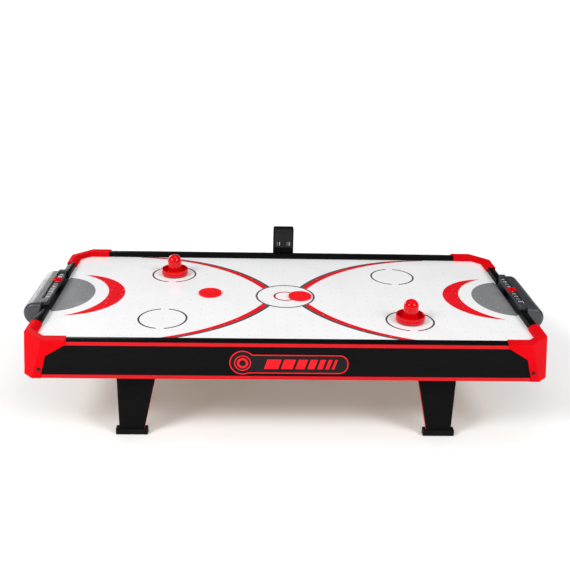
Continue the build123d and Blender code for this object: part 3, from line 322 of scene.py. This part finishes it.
def zinc_plate():
    """Bright zinc on pressed steel: pale grey metal with a cloudy, slightly blue bloom."""
    material, tree, place = material_tree("zinc_plated_steel")
    bloom = add(tree, "ShaderNodeTexNoise", {"Vector": place, "Scale": 1 / (7 * MM), "Detail": 4.0}, "Fac")
    rolled = add(tree, "ShaderNodeMapping", {"Vector": place, "Scale": (0.1, 1, 1)}, "Vector")
    lines = add(tree, "ShaderNodeTexNoise", {"Vector": rolled, "Scale": 1 / (0.5 * MM)}, "Fac")
    colour = add(tree, "ShaderNodeValToRGB", {"Fac": bloom}, "Color", [(0.3, "A9ABAD"), (0.7, "C9CCCE")])
    gloss = add(tree, "ShaderNodeMapRange", {"Value": bloom, "From Min": 0.3, "From Max": 0.7,
                                             "To Min": 0.28, "To Max": 0.42}, "Result")
    relief = add(tree, "ShaderNodeBump", {"Height": lines, "Distance": 0.01 * MM, "Strength": 0.4},
                 "Normal")
    skin = add(tree, "ShaderNodeBsdfPrincipled",
               {"Base Color": colour, "Roughness": gloss, "Metallic": 1.0, "Normal": relief}, "BSDF")
    add(tree, "ShaderNodeOutputMaterial", {"Surface": skin})
    return material


FINISHES = {
    "field_laminate": laminated_field(),
    "raw_fibreboard": raw_board(),
    "black_foil": board_foil(),
    "red_trim": edging(),
    # Caps and sliders come from a lightly blasted tool: bright red, with a broad soft shine.
    "red_abs": moulding("red_satin_abs", "D20711", "DA0B16", 0.38, 0.46, 0.9 * MM, 0.008 * MM, 0.01),
    # The mallets are polished all over: small sharp highlights on the knob and the rim.
    "mallet_red": moulding("red_polished_abs", "DC040F", "E40813", 0.05, 0.08,
                           1.2 * MM, 0.002 * MM, 0.32),
    # Play has scuffed the pucks, so their shine is broken and flat.
    "puck_red": moulding("red_scuffed_abs", "EC101B", "F31722", 0.34, 0.5, 0.7 * MM, 0.012 * MM, 0.1),
    "black_rail": moulding("black_satin_abs", "0A0A0B", "101011", 0.3, 0.4, 1.2 * MM, 0.01 * MM, 0.04),
    # The goals have a spark-eroded texture that turns their shine to a grey bloom.
    "grey_abs": moulding("charcoal_textured_abs", "36373B", "3E3F43", 0.34, 0.44,
                         0.6 * MM, 0.03 * MM, 0.5),
    "black_abs": moulding("black_textured_abs", "0F0F10", "151516", 0.42, 0.54,
                          0.6 * MM, 0.03 * MM, 0.06),
    "black_screw": blackened_steel(),
    "zinc_steel": zinc_plate(),
    "smoked_lens": smoked_acrylic(),
    "display_face": display_epoxy(),
    "circuit_board": solder_mask(),
    "felt": pressed_felt(),
    # The badge is a polished plate, a shade blacker than the foil behind it.
    "badge_print": moulding("black_gloss_plate", "101011", "161617", 0.16, 0.24,
                            1.0 * MM, 0.004 * MM, 0.15),
}
CREASE_INK = screen_ink("grey_screen_ink", "7A7B7D", "828385", 0.08)
LINE_INK = screen_ink("dark_grey_screen_ink", "4A4A4D", "525255", 0.15)
CENTRE_INK = screen_ink("mid_grey_screen_ink", "5C5C5F", "646467", 0.15)
RED_INK = screen_ink("red_screen_ink", "DC1420", "E41924", 0.03)
RING_INK = screen_ink("crimson_screen_ink", "B41222", "BE1828", 0.03)
NUMBER_INK = screen_ink("white_pad_print", "D6D6D9", "DEDEE1", 0.1)
BADGE_INK = screen_ink("bright_red_pad_print", "FB1722", "FF1F2A", 0.1)
LIT = lit_segment("lit_display_segment", "C4C4C8", "D2D2D6", 0.5)
FADED = lit_segment("faded_display_segment", "7C7C80", "88888C", 0.35)

SLOT_OF = {row["node"]: row["material_slot"] for row in frame["record"]["subparts"]}
for name, cad in frame["nodes"].items():
    cad.data.materials.clear()
    cad.data.materials.append(FINISHES[SLOT_OF[name]])


# --- making pieces ----------------------------------------------------------------------------

def piece(name, mesh, material, body):
    """Puts a finished mesh in the scene, riding on its body."""
    mesh.materials.clear()
    mesh.materials.append(material)
    made = bpy.data.objects.new(name, mesh)
    bpy.context.scene.collection.objects.link(made)
    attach(made, body)
    return made


def taken(holder):
    """The mesh of an object with its modifiers applied, and the object gone."""
    graph = bpy.context.evaluated_depsgraph_get()
    mesh = bpy.data.meshes.new_from_object(holder.evaluated_get(graph))
    bpy.data.objects.remove(holder)
    return mesh


MERGE = 0.002 * MM           # corners of loose triangles closer than this are one corner
FLAT_ANGLE = 0.5             # degrees; faces that meet flatter than this are one face
SHARP_ANGLE = 35
ROUNDING_STEPS = 2


def softened(node, body, width, angle):
    """Stands in for a CAD piece, with its sharp edges rounded as its tool leaves them."""
    mesh = frame["nodes"][node].data.copy()
    work = bmesh.new()
    work.from_mesh(mesh)
    bmesh.ops.remove_doubles(work, verts=work.verts, dist=MERGE)
    bmesh.ops.dissolve_limit(work, angle_limit=math.radians(FLAT_ANGLE), verts=work.verts,
                             edges=work.edges)
    work.to_mesh(mesh)
    work.free()
    if "custom_normal" in mesh.attributes:
        mesh.attributes.remove(mesh.attributes["custom_normal"])
    holder = bpy.data.objects.new(node + "_shape", mesh)
    bpy.context.scene.collection.objects.link(holder)
    rounding = holder.modifiers.new("rounding", "BEVEL")
    rounding.width = width
    rounding.segments = ROUNDING_STEPS
    rounding.limit_method = "ANGLE"
    rounding.angle_limit = math.radians(angle)
    bpy.context.view_layer.update()
    whole = taken(holder)
    for polygon in whole.polygons:
        polygon.use_smooth = True
    whole.set_sharp_from_angle(angle=math.radians(SHARP_ANGLE))
    made = piece(node + "_softened", whole, FINISHES[SLOT_OF[node]], body)
    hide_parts(node)


def joined(name, meshes, material, body):
    """Several meshes made one piece."""
    work = bmesh.new()
    for mesh in meshes:
        work.from_mesh(mesh)
        bpy.data.meshes.remove(mesh)
    whole = bpy.data.meshes.new(name + "_mesh")
    work.to_mesh(whole)
    work.free()
    return piece(name, whole, material, body)


def circle(x, y, r, count=96):
    return ellipse(x, y, r, r, count)


def ellipse(x, y, a, b, count=120):
    """Points of an ellipse, anticlockwise."""
    turns = [2 * math.pi * i / count for i in range(count)]
    return [(x + a * math.cos(t), y + b * math.sin(t)) for t in turns]


def box_outline(x, y):
    return [(x[0], y[0]), (x[1], y[0]), (x[1], y[1]), (x[0], y[1])]


def flipped(points, sx, sy):
    """Carries an outline to the quarter with these signs, still anticlockwise."""
    turned = [(x * sx, y * sy) for x, y in points]
    return turned if sx * sy > 0 else turned[::-1]


def cut_sheet(keep, remove, within, low, high, to_world):
    """A thin closed sheet: inside any of keep, inside all of within, and in none of remove."""
    outlines = keep + within + remove
    points, faces = [], []
    for outline in outlines:
        faces.append(list(range(len(points), len(points) + len(outline))))
        points += [Vector(p) for p in outline]
    spots, _, cells, _, _, owners = delaunay_2d_cdt(points, [], faces, 1, 1e-7, True)
    wanted = set(range(len(keep)))
    needed = set(range(len(keep), len(keep) + len(within)))
    banned = set(range(len(keep) + len(within), len(outlines)))
    work = bmesh.new()
    top = [work.verts.new(to_world(p.x, p.y, high)) for p in spots]
    base = [work.verts.new(to_world(p.x, p.y, low)) for p in spots]
    sides = set()
    for cell, owner in zip(cells, owners):
        held = set(owner)
        if held & wanted and needed <= held and not held & banned:
            work.faces.new([top[i] for i in cell])
            work.faces.new([base[i] for i in reversed(cell)])
            sides.update(zip(cell, list(cell[1:]) + [cell[0]]))
    for a, b in sorted(sides):
        if (b, a) not in sides:
            work.faces.new([top[b], top[a], base[a], base[b]])
    loose = [v for v in work.verts if not v.link_faces]
    bmesh.ops.delete(work, geom=loose, context="VERTS")
    bmesh.ops.recalc_face_normals(work, faces=work.faces)
    mesh = bpy.data.meshes.new("sheet")
    work.to_mesh(mesh)
    work.free()
    return mesh


SOFTEN_FROM = 40             # degrees; sharper corners than this are rounded
SOFT_EDGES = [("front_rail", 0.5), ("rear_rail", 0.5), ("left_end_rails", 0.5), ("right_end_rails", 0.5),
              ("front_left_leg", 0.35), ("front_right_leg", 0.35), ("rear_left_leg", 0.35),
              ("rear_right_leg", 0.35), ("feet", 0.8)]
for node, width in SOFT_EDGES:
    softened(node, "table", width * MM, SOFTEN_FROM)


# --- printed markings of the field --------------------------------------------------------------

INK_LOW = 0.02 * MM
INK_HIGH = 0.05 * MM
AIR_PITCH = 25.4 * MM
AIR_HOLE_R = 0.9 * MM
AIR_COLUMNS = 18
AIR_ROWS = 9
FIELD_HALF_X = 487 * MM
FIELD_HALF_Y = 239 * MM


def on_field(x, y, height):
    return (MIDDLE.x + x, MIDDLE.y + y, FIELD_TOP + height)


def air_holes(keep):
    """Outlines of the air holes that lie in the box round some printed shapes."""
    xs = [p[0] for outline in keep for p in outline]
    ys = [p[1] for outline in keep for p in outline]
    found = []
    for i in range(-AIR_COLUMNS, AIR_COLUMNS + 1):
        for j in range(-AIR_ROWS, AIR_ROWS + 1):
            x, y = i * AIR_PITCH, j * AIR_PITCH
            if min(xs) < x < max(xs) and min(ys) < y < max(ys):
                found.append(circle(x, y, AIR_HOLE_R, 12))
    return found


def field_print(name, shapes, material):
    """Printed shapes of one colour, each (keep, remove, within), with the air holes left open."""
    sheets = [cut_sheet(keep, remove + air_holes(keep), within, INK_LOW, INK_HIGH, on_field)
              for keep, remove, within in shapes]
    joined(name, sheets, material, "table")


FIELD_EDGE = box_outline((-FIELD_HALF_X, FIELD_HALF_X), (-FIELD_HALF_Y, FIELD_HALF_Y))
CENTRE_R = 64.9 * MM
QUARTERS = [(sx, sy) for sx in (1, -1) for sy in (1, -1)]
ARC_OUTER = (345 * MM, -112 * MM, 353 * MM)
ARC_MIDDLE = (348.6 * MM, -112.2 * MM, 349.2 * MM)
ARC_INNER = (368.8 * MM, -123.0 * MM, 359.5 * MM)
ARC_END = 345 * MM
CENTRE_LINE = 4.5 * MM
SPOT_R = (25.9 * MM, 21.4 * MM)              # outer and inner radius
CREASE = (494 * MM, 80 * MM, 96 * MM)        # x of its middle, and its two half axes
CRESCENT_OUTER = (464.5 * MM, 115.3 * MM)    # x of its middle, and radius
CRESCENT_INNER = (512.8 * MM, 127.8 * MM)
FACE_OFF = (253.6 * MM, 125.9 * MM)
FACE_OFF_R = (50.7 * MM, 46.7 * MM)
FACE_OFF_GAP = (8 * MM, 60 * MM)             # half sizes of the box that parts each circle


def long_arc(outer, inner, sx, sy):
    """Band between two circles in one quarter of the field, stopped by the centre circle."""
    window = flipped(box_outline((0, ARC_END), (0, FIELD_HALF_Y)), sx, sy)
    return ([flipped(circle(*outer, 400), sx, sy)],
            [flipped(circle(*inner, 400), sx, sy), circle(0, 0, CENTRE_R)], [window])


crease_shapes, line_shapes, red_shapes = [], [], []
for sx in (1, -1):
    crease = flipped(ellipse(CREASE[0], 0, CREASE[1], CREASE[2]), sx, 1)
    crease_shapes.append(([crease], [], [FIELD_EDGE]))
    red_shapes.append(([flipped(circle(CRESCENT_OUTER[0], 0, CRESCENT_OUTER[1], 160), sx, 1)],
                       [flipped(circle(CRESCENT_INNER[0], 0, CRESCENT_INNER[1], 160), sx, 1)],
                       [FIELD_EDGE]))
for sx, sy in QUARTERS:
    line_shapes.append(long_arc(ARC_OUTER, ARC_MIDDLE, sx, sy))
    red_shapes.append(long_arc(ARC_MIDDLE, ARC_INNER, sx, sy))
    x, y = sx * FACE_OFF[0], sy * FACE_OFF[1]
    gap_x, gap_y = FACE_OFF_GAP
    gaps = box_outline((x - gap_x, x + gap_x), (y - gap_y, y + gap_y))
    line_shapes.append(([circle(x, y, FACE_OFF_R[0])], [circle(x, y, FACE_OFF_R[1]), gaps], []))

field_print("goal_crease_print", crease_shapes, CREASE_INK)
field_print("grey_line_print", line_shapes, LINE_INK)
field_print("centre_circle_print", [([circle(0, 0, CENTRE_R)], [circle(0, 0, CENTRE_R - CENTRE_LINE)], [])],
            CENTRE_INK)
field_print("red_field_print", red_shapes, RED_INK)
field_print("centre_spot_print", [([circle(0, 0, SPOT_R[0])], [circle(0, 0, SPOT_R[1])], [])], RING_INK)


# --- rims of the air holes ---------------------------------------------------------------------------

RIM_WIDTH = 0.05 * MM
RIM_HEIGHT = 0.06 * MM
RIM_LIFT = 0.04 * MM
RIM_SIDES = 14
RIM_SPREAD = (0.98, 1.06)    # the drill wanders, so the rings differ a little in size
RIM_SEED = 7


def group_input(group, name, kind, value):
    """Adds a named input with its value at rest; returns the key that sets it on a modifier."""
    socket = group.interface.new_socket(name, in_out="INPUT", socket_type=kind)
    socket.default_value = value
    return socket.identifier


def hole_rims():
    """The burr that drilling leaves round every air hole: a grid of flat rings, from one ring."""
    group = bpy.data.node_groups.new("air_hole_rims", "GeometryNodeTree")
    group.interface.new_socket("Geometry", in_out="OUTPUT", socket_type="NodeSocketGeometry")
    keys = {"Columns": group_input(group, "Columns", "NodeSocketInt", 3),
            "Rows": group_input(group, "Rows", "NodeSocketInt", 3),
            "Pitch": group_input(group, "Pitch", "NodeSocketFloat", AIR_PITCH),
            "Hole Radius": group_input(group, "Hole Radius", "NodeSocketFloat", AIR_HOLE_R),
            "Burr": group_input(group, "Burr", "NodeSocketFloat", RIM_WIDTH),
            "Seed": group_input(group, "Seed", "NodeSocketInt", RIM_SEED)}
    given = add(group, "NodeGroupInput").outputs
    spans = []
    for count in ("Columns", "Rows"):
        gaps = add(group, "ShaderNodeMath", {0: given[count], 1: 1.0}, "Value", operation="SUBTRACT")
        spans.append(add(group, "ShaderNodeMath", {0: gaps, 1: given["Pitch"]}, "Value",
                         operation="MULTIPLY"))
    grid = add(group, "GeometryNodeMeshGrid", {"Size X": spans[0], "Size Y": spans[1],
                                               "Vertices X": given["Columns"], "Vertices Y": given["Rows"]},
               "Mesh")
    middle = add(group, "ShaderNodeMath", {0: given["Burr"], 1: 0.5, 2: given["Hole Radius"]}, "Value",
                 operation="MULTIPLY_ADD")
    path = add(group, "GeometryNodeCurvePrimitiveCircle", {"Resolution": RIM_SIDES, "Radius": middle},
               "Curve")
    profile = add(group, "GeometryNodeCurvePrimitiveQuadrilateral",
                  {"Width": given["Burr"], "Height": RIM_HEIGHT}, "Curve")
    ring = add(group, "GeometryNodeCurveToMesh", {"Curve": path, "Profile Curve": profile}, "Mesh")
    size = add(group, "FunctionNodeRandomValue",
               {2: RIM_SPREAD[0], 3: RIM_SPREAD[1], "Seed": given["Seed"]}, 1)
    rings = add(group, "GeometryNodeInstanceOnPoints", {"Points": grid, "Instance": ring, "Scale": size},
                "Instances")
    solid = add(group, "GeometryNodeRealizeInstances", {"Geometry": rings}, "Geometry")
    faced = add(group, "GeometryNodeSetMaterial",
                {"Geometry": solid, "Material": FINISHES["field_laminate"]}, "Geometry")
    add(group, "NodeGroupOutput", {"Geometry": faced})

    holder = bpy.data.objects.new("air_hole_rims", bpy.data.meshes.new("air_hole_rims"))
    bpy.context.scene.collection.objects.link(holder)
    modifier = holder.modifiers.new("rims", "NODES")
    modifier.node_group = group
    modifier[keys["Columns"]] = 2 * AIR_COLUMNS + 1
    modifier[keys["Rows"]] = 2 * AIR_ROWS + 1
    modifier[keys["Pitch"]] = AIR_PITCH
    modifier[keys["Hole Radius"]] = AIR_HOLE_R
    modifier[keys["Burr"]] = RIM_WIDTH
    modifier[keys["Seed"]] = RIM_SEED
    bpy.context.view_layer.update()
    mesh = taken(holder)
    mesh.transform(Matrix.Translation((MIDDLE.x, MIDDLE.y, FIELD_TOP + RIM_LIFT)))
    piece("air_hole_rims", mesh, FINISHES["field_laminate"], "table")


hole_rims()

# --- score numbers on the goals and the scoreboard ---------------------------------------------------

def numeral(text, height, thickness):
    """Mesh of a number, its middle at the origin, lying in XY with its top towards +Y."""
    curve = bpy.data.curves.new("numeral", "FONT")
    curve.body = text
    curve.size = height
    curve.extrude = thickness / 2
    curve.offset = height * 0.005
    curve.align_x = "CENTER"
    curve.align_y = "CENTER"
    curve.resolution_u = 4
    holder = bpy.data.objects.new("numeral", curve)
    bpy.context.scene.collection.objects.link(holder)
    bpy.context.view_layer.update()
    return taken(holder)


SCORE_X = 501.0 * MM
SCORE_START = -56.5 * MM
SCORE_STEP = 14.4 * MM
SCORE_HEIGHT = 11.5 * MM
TRACK_FLOOR = 224.8 * MM
NUMBER_THICK = 0.06 * MM
NUMBER_LIFT = 0.05 * MM

for end, sx in (("right", 1), ("left", -1)):
    meshes = []
    for value in range(10):
        mesh = numeral(str(value), SCORE_HEIGHT, NUMBER_THICK)
        turn = Matrix.Rotation(math.radians(90 * sx), 4, "Z")
        spot = Vector((MIDDLE.x + sx * SCORE_X, MIDDLE.y + SCORE_START + value * SCORE_STEP,
                       TRACK_FLOOR + NUMBER_LIFT))
        mesh.transform(Matrix.Translation(spot) @ turn)
        meshes.append(mesh)
    joined(end + "_score_numbers", meshes, NUMBER_INK, "table")

lens_low, lens_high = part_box("scoreboard_lens")
board_x = (lens_low.x + lens_high.x) / 2
DIGIT_Z = 241.5 * MM
DIGIT_HEIGHT = 8.5 * MM
BAR_WIDTH = 1.2 * MM
DIGIT_PAIR = 12.0 * MM       # from the middle of the board to the middle of a pair of strokes
DIGIT_STROKE = 2.7 * MM      # and from there to each stroke
DIGIT_GAP = 0.35 * MM        # half the gap between a stroke's two segments
SEGMENT_LOW = 0.03 * MM
SEGMENT_HIGH = 0.15 * MM


def on_lens(x, z, height):
    return (x, lens_low.y - height, z)


for place, name, glow in ((-1, "faded_score_digits", FADED), (1, "lit_score_digits", LIT)):
    segments = []
    for pair in (-1, 1):
        x = board_x + pair * DIGIT_PAIR + place * DIGIT_STROKE
        for half in (-1, 1):
            ends = sorted((DIGIT_Z + half * DIGIT_GAP, DIGIT_Z + half * DIGIT_HEIGHT / 2))
            bar = box_outline((x - BAR_WIDTH / 2, x + BAR_WIDTH / 2), ends)
            segments.append(cut_sheet([bar], [], [], SEGMENT_LOW, SEGMENT_HIGH, on_lens))
    joined(name, segments, glow, "table")


# --- badge: a puck and speed bars, in place of any name ------------------------------------------------

badge_low, badge_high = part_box("badge")
DISC = (-88.0 * MM, 177.2 * MM)
DISC_R = 25.5 * MM
BAR_Z = 174.4 * MM
BAR_HALF = 20.2 * MM
BAR_END = 115.0 * MM
BAR_CORNER = 18 * MM
BORDER = 1.9 * MM
PRINT_LOW = 0.02 * MM
PRINT_HIGH = 0.12 * MM
EDGE_INSET = 0.3 * MM
RINGS = ((16.0 * MM, 14.2 * MM), (10.8 * MM, 6.4 * MM))    # outer and inner radii
RING_DROP = 1.0 * MM         # the rings sit this much below the middle of the round end
SPEED_BARS = (27, 22, 17.5, 13.5, 10, 7, 4.5)              # widths in millimetres
SPEED_BAR_START = -47 * MM
SPEED_BAR_HEIGHT = 20 * MM
SPEED_BAR_GAP = 5.5
SPEED_BAR_LEAN = 0.32


def on_badge(x, z, height):
    return (MIDDLE.x + x, badge_low.y - height, z)


def badge_outline(inset):
    """Round end and bar together, moved in by inset."""
    r = BAR_CORNER - inset
    x = BAR_END - BAR_CORNER
    bar = [(DISC[0], BAR_Z - BAR_HALF + inset)]
    for corner_z, start in ((BAR_Z - BAR_HALF + BAR_CORNER, -90), (BAR_Z + BAR_HALF - BAR_CORNER, 0)):
        for i in range(25):
            a = math.radians(start + 90 * i / 24)
            bar.append((x + r * math.cos(a), corner_z + r * math.sin(a)))
    bar.append((DISC[0], BAR_Z + BAR_HALF - inset))
    return [circle(DISC[0], DISC[1], DISC_R - inset, 96), bar]


def speed_bar(x, width, height):
    """A slanted bar of the badge's motif, leaning to the right."""
    lean = SPEED_BAR_LEAN * height
    low, high = BAR_Z - height / 2, BAR_Z + height / 2
    return [(x, low), (x + width, low), (x + width + lean, high), (x + lean, high)]


motif = [cut_sheet(badge_outline(EDGE_INSET), badge_outline(EDGE_INSET + BORDER), [], PRINT_LOW,
                   PRINT_HIGH, on_badge)]
for outer, inner in RINGS:
    ring = circle(DISC[0], DISC[1] - RING_DROP, outer)
    hole = circle(DISC[0], DISC[1] - RING_DROP, inner)
    motif.append(cut_sheet([ring], [hole], [], PRINT_LOW, PRINT_HIGH, on_badge))
bar_x = SPEED_BAR_START
for width in SPEED_BARS:
    bar = speed_bar(bar_x, width * MM, SPEED_BAR_HEIGHT)
    motif.append(cut_sheet([bar], [], [], PRINT_LOW, PRINT_HIGH, on_badge))
    bar_x += (width + SPEED_BAR_GAP) * MM
joined("badge_motif", motif, BADGE_INK, "table")


# --- studio ---------------------------------------------------------------------------------------------

FLOOR_REACH = 40.0
floor_mesh = bpy.data.meshes.new("studio_floor")
floor_mesh.from_pydata([(x, y, 0) for x, y in box_outline((-FLOOR_REACH, FLOOR_REACH),
                                                          (-FLOOR_REACH, FLOOR_REACH))], [], [(0, 1, 2, 3)])
floor = bpy.data.objects.new("studio_floor", floor_mesh)
bpy.context.scene.collection.objects.link(floor)
paper, tree, place = material_tree("studio_paper")
cloud = add(tree, "ShaderNodeTexNoise", {"Vector": place, "Scale": 1.1}, "Fac")
colour = add(tree, "ShaderNodeValToRGB", {"Fac": cloud}, "Color", [(0.3, "F8F8F8"), (0.7, "FBFBFB")])
reach = add(tree, "ShaderNodeVectorMath", {0: place}, "Value", operation="LENGTH")
glow = add(tree, "ShaderNodeMapRange", {"Value": reach, "From Min": 0.75, "From Max": 1.6,
                                        "To Min": 0.1, "To Max": 0.8}, "Result")
skin = add(tree, "ShaderNodeBsdfPrincipled",
           {"Base Color": colour, "Roughness": 0.95, "Specular IOR Level": 0.0,
            "Emission Color": (1, 1, 1, 1), "Emission Strength": glow}, "BSDF")
beneath = add(tree, "ShaderNodeNewGeometry", out="Backfacing")
clear = add(tree, "ShaderNodeBsdfTransparent", out="BSDF")
sheet = add(tree, "ShaderNodeMixShader", {0: beneath, 1: skin, 2: clear}, "Shader")
add(tree, "ShaderNodeOutputMaterial", {"Surface": sheet})
floor_mesh.materials.append(paper)

world = bpy.data.worlds.new("studio_air")
bpy.context.scene.world = world
world.use_nodes = True
tree = world.node_tree
tree.nodes.clear()
rays = add(tree, "ShaderNodeLightPath")
fill = add(tree, "ShaderNodeBackground", {"Color": (1, 1, 1, 1), "Strength": 0.45}, "Background")
mirror = add(tree, "ShaderNodeBackground", {"Color": (1, 1, 1, 1), "Strength": 0.05}, "Background")
white = add(tree, "ShaderNodeBackground", {"Color": (1, 1, 1, 1), "Strength": 1.0}, "Background")
lit = add(tree, "ShaderNodeMixShader", {0: rays.outputs["Is Glossy Ray"], 1: fill, 2: mirror}, "Shader")
shown = add(tree, "ShaderNodeMixShader", {0: rays.outputs["Is Camera Ray"], 1: lit, 2: white}, "Shader")
add(tree, "ShaderNodeOutputWorld", {"Surface": shown})


def softbox(name, place, aim, size, power):
    """A large soft light that looks at a point."""
    light = bpy.data.lights.new(name, "AREA")
    light.shape = "RECTANGLE"
    light.size, light.size_y = size
    light.energy = power
    lamp = bpy.data.objects.new(name, light)
    bpy.context.scene.collection.objects.link(lamp)
    lamp.location = place
    lamp.rotation_euler = (Vector(aim) - Vector(place)).to_track_quat("-Z", "Y").to_euler()
    lamp.visible_camera = False


softbox("overhead_softbox", (0.1, -0.1, 2.4), (0, 0, 0.2), (0.8, 0.8), 5)
softbox("front_left_softbox", (-2.2, -1.8, 2.3), (0, 0, 0.2), (1.2, 1.2), 68)
softbox("front_right_softbox", (2.2, -1.8, 2.3), (0, 0, 0.2), (1.2, 1.2), 49)
softbox("rear_left_softbox", (-1.45, 2.0, 0.6), (-0.5, 0, 0.22), (1.0, 0.62), 13)

YAW, PITCH, ROLL = 0.0373262, 0.377998, -0.0250877
ahead = Vector((math.sin(YAW) * math.cos(PITCH), math.cos(YAW) * math.cos(PITCH), -math.sin(PITCH)))
right = Vector((math.cos(YAW), -math.sin(YAW), 0))
down = ahead.cross(right)
across = math.cos(ROLL) * right + math.sin(ROLL) * down
below = -math.sin(ROLL) * right + math.cos(ROLL) * down
lens = bpy.data.cameras.new("studio_camera")
lens.lens = 52.08
lens.sensor_width = 36.0
lens.clip_start = 0.05
lens.clip_end = 100.0
camera = bpy.data.objects.new("studio_camera", lens)
bpy.context.scene.collection.objects.link(camera)
facing = Matrix((across, -below, -ahead)).transposed()
camera.matrix_world = Matrix.Translation((-0.06334, -1.67465, 0.89698)) @ facing.to_4x4()
bpy.context.scene.camera = camera
bpy.context.scene.view_settings.view_transform = "Standard"
